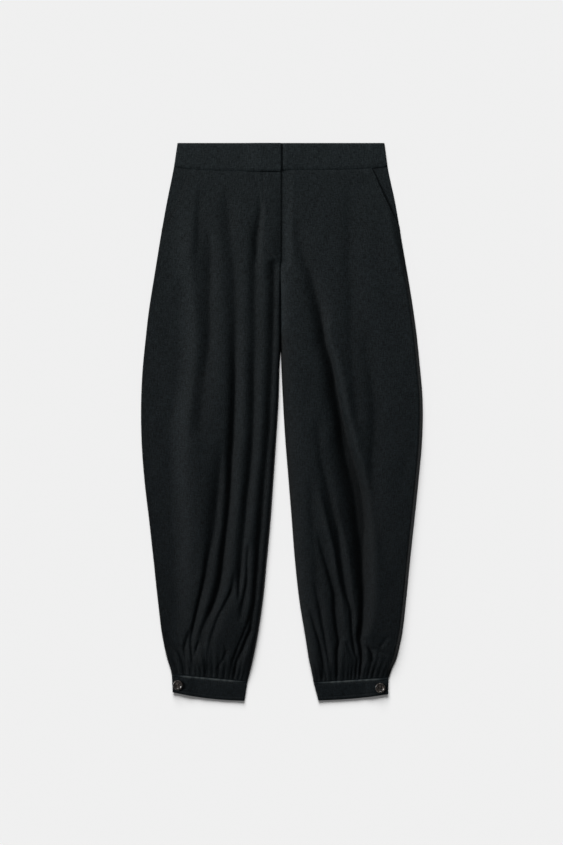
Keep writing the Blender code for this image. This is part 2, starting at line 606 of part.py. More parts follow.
def make_button(leg, horn):
    """A turned disc: a flat base, a round rim and a dished middle with two sewing holes."""
    across, down = BUTTON_PLACES[leg]
    base = CUFF_LAP_TOP + SEAM
    profile = [(BUTTON_RADIUS * share, height) for share, height in BUTTON_PROFILE]
    angles = 2 * np.pi * np.arange(BUTTON_SIDES) / BUTTON_SIDES
    centre = np.array((WEARER_SIDE[leg] * across, TOP - down))
    points = [(centre[0], centre[1], base)]
    for radius, height in profile:
        points += [(centre[0] + radius * np.cos(angle), centre[1] + radius * np.sin(angle), base + height)
                   for angle in angles]
    points.append((centre[0], centre[1], base + BUTTON_DISH))
    starts = [1 + BUTTON_SIDES * ring for ring in range(len(profile))]
    rings = [list(range(start, start + BUTTON_SIDES)) for start in starts]
    faces = []
    for number in range(BUTTON_SIDES):
        ahead = (number + 1) % BUTTON_SIDES
        faces.append((0, rings[0][ahead], rings[0][number]))
        faces.append((len(points) - 1, rings[-1][number], rings[-1][ahead]))
        for lower, upper in zip(rings[:-1], rings[1:]):
            faces.append((lower[number], lower[ahead], upper[ahead], upper[number]))
    button = make_object("button_" + leg, horn, points, faces)
    for number, offset in enumerate((-BUTTON_HOLE_SPACING / 2, BUTTON_HOLE_SPACING / 2)):
        bpy.ops.mesh.primitive_cylinder_add(vertices=BUTTON_HOLE_SIDES, radius=BUTTON_HOLE_RADIUS * MM,
                                            depth=3 * BUTTON_THICK * MM)
        cutter = bpy.context.object
        cutter.name = "hole_" + leg + str(number)
        hole = centre + offset * np.array(BUTTON_TURN)
        cutter.location = (hole[0] * MM, hole[1] * MM, base * MM)
        cutter.hide_render = True
        cutter.display_type = "WIRE"
        cut = button.modifiers.new("hole", "BOOLEAN")
        cut.operation = "DIFFERENCE"
        cut.object = cutter


clear_scene()
CLOTH_MATERIAL = make_material("dark_linen", LINEN_COLOUR, LINEN_ROUGHNESS)
HORN_MATERIAL = make_material("dark_horn", HORN_COLOUR, HORN_ROUGHNESS)
for side_name in ("r", "l"):
    make_leg(side_name, CLOTH_MATERIAL)
    make_cuff(side_name, CLOTH_MATERIAL)
    make_button(side_name, HORN_MATERIAL)
make_waistband(CLOTH_MATERIAL)
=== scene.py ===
"""Balloon trousers in dark linen, laid flat on their back on a pale floor and seen from straight above.

Sizes are in millimetres, and MM turns them into metres. "across" is the distance from the garment's
middle line, "down" the distance from the waistband's top edge. X runs to the wearer's left, Y to the
waist and Z up from the floor. Every cloth piece is a surface worked out on a grid of columns (across)
and rows (down), with a second surface one cloth thickness behind it and a round rim between them.
"""

import json

import bpy
import numpy as np
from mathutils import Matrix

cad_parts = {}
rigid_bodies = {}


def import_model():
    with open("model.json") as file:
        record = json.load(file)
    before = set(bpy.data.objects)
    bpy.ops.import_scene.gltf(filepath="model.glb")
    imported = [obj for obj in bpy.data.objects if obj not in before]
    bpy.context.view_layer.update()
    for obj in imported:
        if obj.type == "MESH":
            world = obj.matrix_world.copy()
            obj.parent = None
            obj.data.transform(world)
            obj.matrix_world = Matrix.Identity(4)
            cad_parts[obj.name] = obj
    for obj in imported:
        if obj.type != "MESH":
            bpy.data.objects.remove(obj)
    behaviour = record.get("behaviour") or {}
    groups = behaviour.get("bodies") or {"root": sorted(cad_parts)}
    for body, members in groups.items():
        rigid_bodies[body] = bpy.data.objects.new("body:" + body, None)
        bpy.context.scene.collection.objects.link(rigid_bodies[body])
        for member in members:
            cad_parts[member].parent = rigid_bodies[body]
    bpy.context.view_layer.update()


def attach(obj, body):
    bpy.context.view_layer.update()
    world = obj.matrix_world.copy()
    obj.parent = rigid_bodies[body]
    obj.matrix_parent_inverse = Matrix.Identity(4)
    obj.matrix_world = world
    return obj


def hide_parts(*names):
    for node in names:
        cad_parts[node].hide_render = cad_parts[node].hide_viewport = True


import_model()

MM = 0.001
TOP = 506.0
SEAM = 0.3
WEARER_SIDE = {"r": -1.0, "l": 1.0}

# Cloth
CLOTH = 1.2
BAND_CLOTH = 2.0
CUFF_CLOTH = 1.8
EDGE_RADIUS = 2.25
HIP_RADIUS = 1.5
BAND_RADIUS = 2.6
EDGE_GAP = 0.5
LOWEST_FRONT = 3.5
LOWEST_UNDER_FLY = 2.95
LOWEST_RISE = 0.3
LOWEST_SOFTNESS = 0.35

# Middle, fly and waistband
CENTRE = -1.8
CROTCH = 330.0
FLY_END = 209.0
FLY_UNDERLAP = 9.0
BAND_UNDERLAP = 30.0
BAND_SIDE_HEIGHT = 41.0
BAND_RISE = {"r": 9.4, "l": 7.4}
BAND_RISE_REACH = 40.0
BAND_LIFT = 1.8
BAND_LIFT_RAMP = 44.0
BAND_LIFT_CLEAR = 5.0
BAND_TUCK = 0.85

# The slanted pocket mouth: down, across
POCKET_LINE = np.array((
    (40.0, 160.0), (48.0, 164.5), (70.0, 174.3), (90.0, 183.2), (110.0, 192.4), (130.0, 202.0),
    (147.0, 211.0), (156.0, 217.0), (170.0, 226.0),
))
POCKET_UNDER = 12.0
POCKET_END = 156.0
POCKET_LAST_ROW = 148.0
POCKET_TURN = (POCKET_END - 6.0, POCKET_END + 10.0)
HIP_TURN = (POCKET_END - 10.0, POCKET_END + 12.0)
CROTCH_TURN = (CROTCH + 32.0, CROTCH + 64.0)
FLY_TURN = (FLY_END - 6.0, FLY_END + 6.0)
FLY_TUCK_FADE = (FLY_END + 7.0, FLY_END + 22.0)
FLY_TUCK_RAMP = (1.5, 24.0)
BAND_TUCK_RAMP = (0.0, 9.0)

# The outline: down, then the outer and inner edges of both legs
OUTLINE_COLUMNS = ("down", "outer_r", "inner_r", "inner_l", "outer_l")
OUTLINE = np.array((
    (0.0, 189.6, 1.8, -1.8, 186.7),
    (45.2, 196.5, 1.8, -1.8, 192.9),
    (103.3, 208.2, 1.8, -1.8, 205.3),
    (175.9, 221.1, 1.8, -1.8, 217.8),
    (248.5, 232.5, 1.8, -1.8, 230.0),
    (321.1, 242.7, 1.8, -1.8, 240.5),
    (347.0, 245.5, 1.9, -1.7, 243.9),
    (376.0, 248.6, 2.0, -1.7, 247.0),
    (393.7, 250.4, 3.3, -1.2, 248.7),
    (466.3, 254.5, 5.7, 2.0, 254.8),
    (538.9, 253.8, 10.2, 6.4, 253.8),
    (611.5, 248.5, 15.1, 12.3, 247.4),
    (684.1, 240.0, 20.3, 18.1, 239.9),
    (756.7, 232.0, 26.9, 23.8, 232.1),
    (829.3, 224.2, 34.1, 31.8, 224.9),
    (901.9, 214.9, 45.2, 43.7, 215.8),
    (938.2, 207.5, 52.6, 49.4, 207.5),
    (956.4, 201.9, 57.0, 53.4, 199.4),
    (976.0, 198.8, 61.9, 57.3, 193.4),
))

# The filled-out legs reach a little past the table's outer edges between the hips and the cuffs
OUTER_EASE = 1.1
EASE_START = (200.0, 320.0)
EASE_END = (880.0, 950.0)

# How high the front cloth stands over its edges in the middle of the leg: down, height
LOFT = np.array((
    (45.0, 0.0), (120.0, 2.2), (250.0, 6.0), (400.0, 9.5), (600.0, 11.3), (800.0, 11.5),
    (900.0, 10.5), (940.0, 7.0), (966.0, 1.2), (980.0, 0.6),
))

# How the front cloth rises from its edges: down, how fast from the inner edge, then the start and end of
# its rise from the side
RISE = {
    "r": np.array(((45.0, 15.0, 0.0, 40.0), (200.0, 15.0, 14.0, 70.0), (262.0, 4.5, 46.0, 108.0),
                   (420.0, 4.5, 62.0, 122.0), (500.0, 4.5, 50.0, 106.0), (650.0, 4.5, 42.0, 100.0),
                   (850.0, 5.0, 25.0, 92.0), (920.0, 6.0, 8.0, 88.0), (980.0, 8.0, 0.0, 40.0))),
    "l": np.array(((45.0, 15.0, 0.0, 24.0), (200.0, 15.0, 0.0, 12.0), (262.0, 9.0, 0.0, 8.0),
                   (400.0, 10.0, 0.0, 8.0), (480.0, 16.0, 0.0, 8.0), (650.0, 16.0, 0.0, 8.0),
                   (850.0, 12.0, 0.0, 8.0), (980.0, 8.0, 0.0, 10.0))),
}
INNER_FADE = 6.0
SIDE_FADE = 10.0
CREASE_POWER = 1.7
RIDGE_POWER = 2.0

# Painted shade: tone of the cloth in its deepest hollows, along its turned edges, near the crotch and at the
# pocket mouth, as a share of its full tone
HOLLOW_SHADE_DEPTH = 11.0
HOLLOW_PAINTED_SHADE = 0.36
EDGE_PAINTED_SHADE = 0.45
EDGE_SHADE_REACH = 3.2
CROTCH_SHADE_REACH = 9.0
CROTCH_PAINTED_SHADE = 0.12
CROTCH_SHADE_START = (CROTCH_TURN[0] - 30.0, CROTCH_TURN[0])
CROTCH_SHADE_FADE = (600.0, 960.0)
MOUTH_PAINTED_SHADE = {"r": 0.4, "l": 1.0}
MOUTH_SHADE_REACH = 1.8

# Folds of the front cloth, each a row of knots: down, across, depth, width to the middle, width to the side
CREASES = {
    "r": (
        # Beside the inner seam
        ((209, 15.1, 0, 8.4, 5.1), (219, 14.2, 3.5, 8.5, 8.5), (250, 14.2, 5, 8.9, 9.3),
         (301, 14.5, 5.5, 8.9, 9.3), (363, 16, 5.5, 8.9, 9.3), (414, 17.8, 5.5, 8.9, 9.3),
         (466, 20.5, 5.5, 8.9, 8.5), (517, 22.3, 5.5, 8.9, 8.5), (570, 27.2, 5.5, 10.6, 8.5),
         (622, 32.3, 6, 10.6, 8.5), (648, 34.1, 6, 10.6, 8.5), (693, 37.8, 6, 10.6, 7.6),
         (733, 41.4, 6, 10.1, 7.1), (766, 43.6, 6, 9.6, 6.4), (795, 46.3, 5.5, 9.2, 5.4),
         (824, 48.6, 5, 8.7, 4.8), (846, 51.2, 4.5, 8.4, 4.4), (864, 53.7, 4.5, 8.2, 4.4),
         (882, 56.6, 4.5, 8, 4.4), (902, 64.6, 4.2, 7.8, 4.4), (920, 71.7, 4, 7.6, 4.2),
         (938, 79.5, 3, 7.4, 3.9), (955, 83.5, 2, 6, 3.7), (974, 84.9, 0, 5.8, 3.7)),
        # Second from the seam
        ((94, 39.6, 0, 8.6, 5.1), (120, 38.7, 2, 9, 5.9), (147, 41.4, 3.5, 9.3, 7.6),
         (178, 45, 5, 9.7, 8.5), (198, 45.4, 5, 10, 8.5), (223, 48.1, 4, 12, 9.3),
         (250, 48.3, 4, 14.2, 9.3), (288, 48.6, 3.8, 14.2, 10.2), (363, 48.3, 4, 12.4, 10.2),
         (414, 50.1, 5, 10.6, 9.3), (466, 50.1, 5.5, 10.6, 9.3), (544, 53.2, 5.5, 10.6, 8.5),
         (595, 57, 6, 10.6, 8.5), (648, 63.2, 6, 10.6, 8.1), (682, 65.7, 5.5, 8.9, 8.5),
         (728, 70.4, 5, 7.5, 9.3), (755, 73, 5, 7.2, 7.6), (784, 75.5, 4.5, 6.9, 5.1),
         (807, 77.3, 3.5, 6, 3.1), (822, 77.7, 2, 5.8, 3.1), (833, 78, 0, 5.7, 3.1)),
        # Its branch to the cuff
        ((771, 83.1, 0, 9.5, 3.4), (788, 86.8, 1.5, 9.3, 3.4), (813, 91.8, 3, 7.7, 3.4),
         (837, 103.1, 2.6, 10, 3.4), (858, 114.3, 2.6, 9.6, 3.4), (882, 122.7, 2.2, 9.3, 3.4),
         (900, 128.5, 1.8, 9.1, 3.4), (916, 132.1, 1.8, 8.9, 3.4), (938, 134.1, 1.8, 7.9, 3.4),
         (960, 133.6, 2, 7.2, 3.4), (974, 133.9, 0, 7, 3.4)),
        # Short one between them
        ((720, 59.5, 0, 6.9, 3.4), (739, 60.8, 2.5, 6.7, 3.4), (757, 62.3, 3, 6.5, 3.1),
         (778, 62.3, 3, 6.3, 3.1), (802, 64.1, 3.2, 6.7, 3.1), (826, 68.6, 3.4, 7.3, 3.7),
         (851, 73.1, 2, 8.3, 4.2), (869, 75.9, 0, 8.1, 4.2)),
        # Thin one at the calf
        ((837, 55.2, 0, 4.3, 2.5), (851, 56.6, 1.5, 4.2, 2.7), (884, 66.8, 2, 4.2, 2.7),
         (902, 74.1, 2, 4.1, 2.7), (924, 83.1, 2, 4, 2.7), (942, 88.9, 1.8, 3.9, 2.7),
         (960, 89.5, 0, 3.8, 2.7)),
        # The deep middle one
        ((78, 99.5, 0, 14, 10.2), (103, 99.5, 1.5, 14.6, 11.9), (136, 97.6, 2.2, 15.3, 12.3),
         (172, 94, 2.4, 16.1, 12.3), (212, 88.6, 3, 16.9, 12.3), (250, 85.8, 3.2, 14.2, 12.3),
         (288, 84.9, 3.5, 14.2, 12.3), (337, 84, 4.5, 12.4, 11.9), (376, 84.4, 5.5, 10.6, 10.2),
         (414, 84.4, 6.5, 10.6, 9.3), (466, 85.3, 7.5, 10.6, 8.8), (517, 87.5, 8, 10.6, 8.5),
         (570, 90.4, 8, 10.6, 8.1), (648, 94.7, 8, 11.4, 7.6), (682, 98, 8, 11.4, 7.1),
         (717, 102, 7.5, 11.1, 6.8), (742, 105.3, 7.5, 10.7, 6.8), (775, 108.5, 7, 10.1, 6.8),
         (802, 113.3, 7, 9.7, 6.8), (829, 120.5, 6.5, 9.2, 7.1), (851, 129.2, 6.5, 11.1, 7.1),
         (869, 137.2, 5, 14.9, 6.8), (887, 144.8, 3.75, 19, 6.4), (904, 149.4, 3, 19, 5.4),
         (916, 153, 2.25, 12.7, 4.4), (935, 153, 1.5, 4.9, 3.4), (955, 148.5, 1.125, 4.3, 3.1),
         (974, 148.5, 0, 4.2, 3.1)),
        # Soft one below the pocket
        ((74, 148.5, 0, 13.9, 5.1), (103, 149.4, 1.2, 14.6, 5.1), (136, 150.6, 1.6, 15.3, 5.9),
         (167, 151, 1.6, 15.9, 5.9), (194, 152.1, 0.8, 16.5, 5.1), (216, 152.1, 0, 17, 5.1)),
        # Broad one at the thigh
        ((130, 132.1, 0, 12.1, 12.3), (167, 131.2, 1.5, 12.8, 12.3), (194, 129.4, 3, 11.6, 13.9),
         (248, 130.3, 3.8, 12.4, 13.9), (285, 131.2, 4.2, 14.2, 13.1), (363, 132.1, 4.5, 14.2, 11.9),
         (388, 133.9, 4.3, 16, 12.3), (414, 137.6, 4, 17.7, 13.9), (441, 141.2, 3.6, 19, 15.4),
         (466, 144.8, 3.2, 19, 15.4), (492, 146.7, 2.8, 19, 13.9), (517, 148.5, 1.8, 19, 12.3),
         (548, 148.5, 0, 19, 12.3)),
        # Outer one of the calf
        ((532, 108.5, 0, 8.9, 10.2), (570, 110.4, 2.2, 8.9, 11.9), (595, 112.2, 3.6, 8.9, 12.3),
         (648, 116.7, 5, 10.6, 12.3), (670, 119.4, 5.4, 11.4, 12.7), (709, 124, 5.2, 11.9, 10.2),
         (742, 131, 4.8, 12, 6.8), (760, 135, 5, 11.7, 5.4), (788, 139.4, 5, 11.1, 4.8),
         (815, 145.2, 5, 10.6, 4.4), (838, 151, 5, 10.2, 4.2), (866, 157.2, 4.8, 9.2, 3.9),
         (887, 161.9, 4, 7.9, 3.4), (909, 164.4, 3, 6.7, 3.4), (925, 163.3, 2.5, 5, 3.1),
         (955, 162.4, 1.8, 4.8, 3.1), (974, 162.4, 0, 4.7, 3.1)),
        # Outer edge at the cuff
        ((887, 211.1, 0, 5.3, 2.5), (904, 201.1, 2, 5.2, 2.5), (916, 192, 2, 5.1, 2.5),
         (927, 185.7, 2, 5, 2.5), (940, 180.2, 1.8, 4.9, 2.5), (955, 177, 1.5, 4.8, 2.5),
         (971, 176.6, 0, 4.7, 2.5)),
        # Short one at the cuff
        ((880, 166.6, 0, 5.3, 3.4), (891, 169.3, 2, 5.3, 3.4), (904, 173, 2.5, 5.2, 3.4),
         (918, 176.4, 2.5, 5.1, 3.4), (933, 175.7, 2, 5, 3.1), (953, 174.2, 1.5, 4.8, 3.1),
         (971, 173.9, 0, 4.7, 3.1)),
        # Small one at the cuff
        ((907, 108.5, 0, 5.1, 2.5), (920, 101.3, 1.2, 5.1, 2.5), (935, 105.8, 1.2, 4.9, 2.5),
         (951, 115.8, 1, 4.8, 2.5), (967, 119.4, 0, 4.7, 2.5)),
    ),
    "l": (
        # The broad deep one
        ((130, 25.8, 0, 8.5, 15.1), (156, 29.4, 1.5, 10.2, 15.7), (192, 36.7, 2, 11.9, 16.5),
         (219, 43.9, 2.6, 11.9, 15.4), (238, 52.1, 3.6, 11, 14), (258, 57.5, 4.5, 11, 14.2),
         (279, 63, 5, 11, 14.2), (310, 70.2, 7.3, 12.7, 12.4), (336, 75.7, 8.1, 12.3, 5.9),
         (363, 80.2, 8.8, 13.9, 5.9), (388, 87.5, 9.4, 13.1, 5.9), (414, 93.7, 9.8, 13.1, 5.9),
         (441, 97.6, 11.44, 13.9, 6.9), (466, 102.7, 12.21, 14.7, 6.9), (492, 107.4, 12.87, 13.9, 6.9),
         (517, 111.4, 13.86, 13.1, 9.7), (544, 116.5, 14.63, 16.4, 10.6), (570, 122.9, 15.07, 19.6, 12.1),
         (595, 130.1, 15.4, 22.1, 14.2), (622, 137.2, 15.4, 23.7, 14.2), (648, 140.8, 15.4, 22.9, 16),
         (693, 144.1, 15.4, 20.4, 17.7), (717, 144.7, 13.53, 17.2, 17.3), (749, 146.3, 12.87, 15.5, 16.5),
         (784, 145.9, 10.4, 11, 15.6), (829, 147.4, 9.1, 8.1, 14.4), (851, 146.3, 8.5, 7.1, 13.9),
         (875, 144.1, 7.8, 5.4, 12.1), (896, 140.5, 6.5, 4.4, 7.8), (920, 144.1, 5.2, 3.4, 6.6),
         (940, 144.5, 3.9, 3.1, 4.9), (956, 142.3, 2.6, 2.7, 4.8), (974, 143.7, 0, 2.7, 4.7)),
        # Second one
        ((493, 63.9, 0, 6.8, 14.2), (517, 65.7, 1.2, 6.8, 14.2), (544, 68.1, 1.8, 7.6, 14.2),
         (570, 71.1, 2.4, 7.6, 12.4), (595, 76.6, 3, 8.5, 12.4), (622, 82.6, 3.6, 8.5, 12.4),
         (648, 88.4, 4.2, 9.3, 12.4), (677, 94.7, 4.6, 9.3, 12.4), (709, 102.4, 5, 8.5, 12.3),
         (735, 105.3, 5, 7.6, 11.8), (757, 107.8, 5, 6.8, 11.1), (782, 111.1, 4.8, 5.8, 12.5),
         (802, 114.3, 4.5, 4.8, 12.1), (826, 119.4, 4.5, 4.2, 11.6), (847, 125.2, 4, 4.1, 10.1),
         (866, 126.5, 3.6, 3.7, 6.5), (887, 127.4, 3.2, 3.4, 5.8), (907, 129.6, 3, 3.1, 5.1),
         (920, 131.8, 2.6, 3.1, 5.1), (936, 136.5, 2, 2.7, 4.4), (953, 134.7, 1.5, 2.5, 3.9),
         (974, 134.7, 0, 2.5, 3.7)),
        # Third one
        ((699, 65.7, 0, 4.2, 19), (724, 69.9, 2.5, 4.2, 19), (742, 74.2, 3.4, 4.2, 18.7),
         (766, 81.7, 4, 4.4, 18), (793, 88.8, 4.4, 4.4, 17.2), (815, 94.6, 4.6, 4.4, 16.6),
         (840, 95.7, 4.6, 4.4, 15.8), (866, 98, 4.5, 4.2, 11.4), (887, 100.7, 4.4, 4.1, 11.1),
         (904, 103.3, 4, 3.7, 6.7), (920, 101.3, 3.4, 3.4, 6.1), (942, 101.3, 2.6, 3.4, 4.9),
         (960, 102, 2, 3.1, 4.8), (978, 102, 0, 3.1, 4.6)),
        # Soft one above it
        ((593, 53, 0, 6.8, 14.2), (648, 53.9, 1.2, 6.8, 14.2), (684, 55.7, 1.5, 6.8, 14.2),
         (729, 59.4, 1.2, 6.8, 13.6), (784, 62.1, 1.2, 6.8, 12.5), (829, 63, 0, 6.8, 11.5)),
        # Fourth one
        ((793, 59.4, 0, 4.2, 7.7), (811, 62.6, 1.6, 4.2, 7.4), (840, 68.6, 3, 4.2, 7.1),
         (875, 74.1, 3, 3.7, 5.9), (898, 78.4, 3.3, 3.4, 5.2), (920, 82, 3, 3.1, 5.1),
         (940, 84.9, 1.6, 2.7, 4.4), (964, 83.9, 0, 2.7, 4.3)),
        # Inner one at the cuff
        ((844, 51.7, 0, 3.4, 7), (858, 54.6, 1.8, 3.7, 6.9), (875, 59.4, 3, 3.7, 6.7),
         (887, 63.3, 3.4, 3.7, 6.9), (904, 68.4, 3.6, 3.7, 6.7), (924, 72.4, 3.4, 3.7, 6),
         (942, 75, 3, 3.4, 5.4), (960, 75.9, 2.2, 3.1, 4.8), (978, 75.9, 0, 3.1, 4.6)),
        # Slanted one at the cuff
        ((880, 138.3, 0, 2.7, 5.3), (891, 144.1, 2, 2.7, 5.8), (902, 152.8, 2.4, 2.7, 6.2),
         (918, 159.7, 2.4, 2.7, 6.1), (931, 164.1, 2, 2.7, 5), (945, 167.3, 0, 2.7, 4.9)),
        # Soft one at the hip
        ((67, 122, 0, 11.9, 16.5), (94, 123.8, 1, 11.9, 17.2), (172, 122.9, 1.6, 12.7, 19),
         (250, 124.7, 1.8, 12.7, 19), (288, 126.5, 1.8, 11.9, 19), (363, 126.5, 1.8, 10.2, 19),
         (414, 129.2, 1.6, 9.3, 17.7), (454, 132, 1.4, 8.5, 17.7), (503, 136.5, 1, 8.5, 17.7),
         (539, 140.1, 0, 8.5, 17.7)),
        # Outer soft one
        ((285, 145.6, 0, 10.2, 19), (357, 151, 0.8, 10.2, 19), (414, 160.1, 1.8, 10.2, 19),
         (466, 166.4, 2.4, 10.2, 19), (521, 168.3, 2.6, 10.2, 19), (593, 163.7, 2.6, 10.2, 19),
         (648, 167.3, 2.2, 10.2, 19), (720, 178.2, 1.4, 10.2, 19), (793, 185.5, 0, 10.2, 19)),
    ),
}

# Soft ridges beside the folds, in the same columns, with a height for the depth
RIDGES = {
    "r": (
        # Outer thigh
        ((130, 163, 0, 9.3, 12.3), (194, 166.6, 1.2, 9.3, 13.9), (285, 159.4, 1.8, 10.8, 13.9),
         (357, 157.5, 2, 10.8, 13.9), (466, 164.8, 2.2, 12.3, 13.9), (521, 172.1, 2.2, 13.9, 13.9),
         (575, 173.9, 2, 13.9, 13.9), (648, 170.2, 2, 15.4, 13.9), (739, 166.6, 1.8, 13.9, 13.9),
         (829, 170.2, 1, 13.9, 13.9), (902, 177.5, 0, 13.9, 13.9)),
        # Below the fly
        ((85, 34.1, 0, 4.6, 5.1), (112, 32.3, 0.8, 5.4, 5.1), (176, 35.9, 0.9, 5.4, 5.1),
         (216, 34.1, 0.4, 5.4, 5.1), (267, 34.1, 0, 4.6, 5.1)),
    ),
    "l": (
        # Inner edge of the broad one
        ((630, 92.9, 0, 6.8, 4.6), (666, 102, 0.8, 6.8, 4.6), (720, 114.7, 1, 6.8, 4.6),
         (775, 124.7, 1, 6.8, 4.6), (829, 129.2, 0.8, 5.1, 3.9), (856, 134.7, 0, 5.1, 3.9)),
        # Left of the second
        ((611, 61.2, 0, 7.2, 4.6), (648, 72.1, 1.56, 7.2, 4.6), (693, 82.9, 2.34, 7.2, 4.6),
         (739, 93.8, 2.6, 7.2, 4.6), (784, 100.2, 2.34, 5.8, 4.6), (829, 109.3, 1.56, 5.8, 3.9),
         (884, 114.7, 0, 4.3, 3.9)),
        # Right of the broad one
        ((339, 94.7, 0, 6.8, 6.2), (394, 107.4, 0.8, 6.8, 7.7), (466, 120.2, 1.2, 6.8, 9.3),
         (557, 138.3, 1.4, 6.8, 10.8), (648, 158.3, 1.6, 8.5, 13.9), (739, 167.3, 1.4, 8.5, 13.9),
         (829, 167.3, 0.8, 8.5, 13.9), (902, 163.7, 0, 8.5, 12.3)),
    ),
}

# Short strokes pressed into the front cloth: across, down at both ends, depth (a ridge below zero), width
STROKES = {
    "r": (
        (211, 894, 189, 921, 2.0, 3.0),
        (151, 905, 158, 930, 1.6, 2.5),
        (163, 910, 152, 927, -1.2, 3.0),
        (50, 203, 22, 206.5, 0.5, 2.4),
        (46, 209, 24, 210, 0.35, 2.0),
        (44, 199, 26, 203, 0.35, 2.0),
        (96, 560, 92, 620, 0.6, 5.0),
        (120, 640, 112, 700, 0.7, 5.0),
    ),
    "l": (
        (141, 893, 166, 928, 2.2, 3.0),
        (163, 915, 190, 928, 2.0, 3.0),
        (150, 921, 158, 940, -1.8, 3.0),
        (118, 905, 128, 935, 1.4, 3.0),
        (192, 895, 178, 915, 1.0, 3.5),
        (60, 286, 44, 262, 0.6, 4.0),
    ),
}

# Gathers at the cuff: share of the width from the inner edge, length up the leg, depth, width as a share
GATHERS = {
    "r": (
        (0.055, 30, 1.2, 0.014), (0.112, 52, 2.2, 0.018), (0.179, 60, 2.4, 0.020), (0.238, 34, 1.3, 0.014),
        (0.311, 42, 2.0, 0.016), (0.390, 46, 2.2, 0.018), (0.470, 56, 2.4, 0.018), (0.563, 84, 2.8, 0.020),
        (0.620, 28, 1.2, 0.012), (0.682, 50, 2.2, 0.018), (0.761, 44, 2.3, 0.016), (0.841, 58, 2.5, 0.018),
        (0.934, 40, 1.8, 0.016),
    ),
    "l": (
        (0.050, 26, 1.1, 0.014), (0.114, 54, 2.3, 0.018), (0.167, 50, 2.2, 0.016), (0.240, 36, 1.3, 0.016),
        (0.314, 62, 2.4, 0.018), (0.410, 38, 1.5, 0.018), (0.470, 30, 1.3, 0.012), (0.515, 54, 2.3, 0.015),
        (0.568, 60, 2.5, 0.015), (0.621, 66, 2.5, 0.016), (0.680, 30, 1.2, 0.012), (0.729, 52, 2.3, 0.016),
        (0.795, 48, 2.3, 0.016), (0.870, 36, 1.6, 0.018), (0.940, 30, 1.3, 0.015),
    ),
}
STROKE_FADE = (0.45, 1.35)
GATHER_DEPTH = 0.62
GATHER_FADE = 0.05
GATHER_SPREAD = 70.0
GATHER_AT_SEAM = 0.55
GATHER_SWELL = 9.0
BACK_GATHER_DEPTH = 0.42
BACK_CREASE_DEPTH = 0.16
BACK_CREASE_MOST = 1.0
BACK_EDGE_FADE = 0.1

# Small waves of the resting cloth and of the cloth beside stitches: their shares, lengths, sways and
# starts, in the order in which each formula takes them
UNEVENNESS = 0.16
FIRST_WAVE = (9.7, 41.0, 1.3, 23.0, 31.0)
SECOND_WAVE = (0.8, 17.0, 37.0, 29.0)
THIRD_WAVE = (0.6, 13.0, 12.0, 1.7, 21.0, 0.7)
PUCKER_DEPTH = 0.12
PUCKER_REACH = 12.0
PUCKER_WAVE = (1.9, 2.1, 11.0)
SECOND_PUCKER_WAVE = (0.6, 3.1, 1.0)

# How the front cloth dips at its seams
SEAM_DIP = 0.75
SEAM_DIP_WIDTH = 2.6
NEAR_FLY_DIP = 0.7
NEAR_FLY_START = (0.0, 12.0)
NEAR_FLY_END = (20.0, 75.0)
MIDDLE_DIP_WIDTH = 3.2
SEWN_MIDDLE_DIP = 0.8

# Cuffs: the four corners as across, down, and the bow of the lower edge
CUFF_LINE = 966.0
CUFF_CORNERS = {
    "r": {"inner_top": (62.3, 976.8), "outer_top": (199.3, 964.3),
          "inner_bottom": (67.7, 1012.0), "outer_bottom": (197.6, 996.5), "bow": 3.6},
    "l": {"inner_top": (57.5, 978.5), "outer_top": (193.3, 970.3),
          "inner_bottom": (66.2, 1011.4), "outer_bottom": (192.8, 999.9), "bow": 2.4},
}
CUFF_UNDERLAP = 24.0
CUFF_FOLD = 2.5
CUFF_LAP_INSET = 0.4
CUFF_LIFT_RAMP = 18.0
CUFF_LIFT_CLEAR = 4.0
CUFF_LAP_TOP = 6.2
BUTTON_PLACES = {"r": (188.6, 983.6), "l": (178.6, 988.4)}
BUTTON_RADIUS = 9.0
BUTTON_TURN = {"r": (0.8, 0.6), "l": (-0.83, 0.56)}

# Stretches over which one rule gives way to the next, as distances down
WAIST_BLEND = (60.0, 145.0)
POCKET_WAIST_BLEND = (60.0, 110.0)
CUFF_BLEND = (780.0, 966.0)
LOWEST_RISE_RAMP = (790.0, 880.0)
UNEVEN_START = (55.0, 130.0)
UNEVEN_END = (900.0, 960.0)
SEWN_MIDDLE_START = (FLY_END, FLY_END + 12.0)
SEWN_MIDDLE_END = (CROTCH - 4.0, CROTCH + 8.0)
FIRST_FRONT_ROW = 50.0
FIRST_BACK_ROW = 41.3
FIRST_POCKET_ROW = 42.0
ROW_PASSES = 3

# Grid sizes
ARC = 6
ACROSS = 126
FRONT_ROWS = 316
BACK_ACROSS = 66
BACK_ROWS = 190
ROW_CROWDING = 0.16


def smooth_step(low, high, value):
    """0 below low, 1 above high, and a smooth cubic between them."""
    share = np.clip((np.asarray(value, dtype=float) - low) / (high - low), 0.0, 1.0)
    return share * share * (3.0 - 2.0 * share)


def smooth_table(places, values, at):
    """A smooth curve through a table: cubic pieces whose slopes come from the neighbouring rows."""
    places = np.asarray(places, dtype=float)
    values = np.asarray(values, dtype=float)
    at = np.clip(at, places[0], places[-1])
    slopes = np.gradient(values, places)
    row = np.clip(np.searchsorted(places, at, side="right") - 1, 0, len(places) - 2)
    step = places[row + 1] - places[row]
    share = (at - places[row]) / step
    start = (1 + 2 * share) * (1 - share) ** 2 * values[row] + share * (1 - share) ** 2 * step * slopes[row]
    end = share ** 2 * (3 - 2 * share) * values[row + 1] - share ** 2 * (1 - share) * step * slopes[row + 1]
    return start + end


def outline(edge, down):
    """How far an edge of the outline lies from the middle line, with an ease added to the outer edges."""
    place = smooth_table(OUTLINE[:, 0], OUTLINE[:, OUTLINE_COLUMNS.index(edge)], down)
    if edge.startswith("outer"):
        place = place + OUTER_EASE * smooth_step(*EASE_START, down) * (1 - smooth_step(*EASE_END, down))
    return place


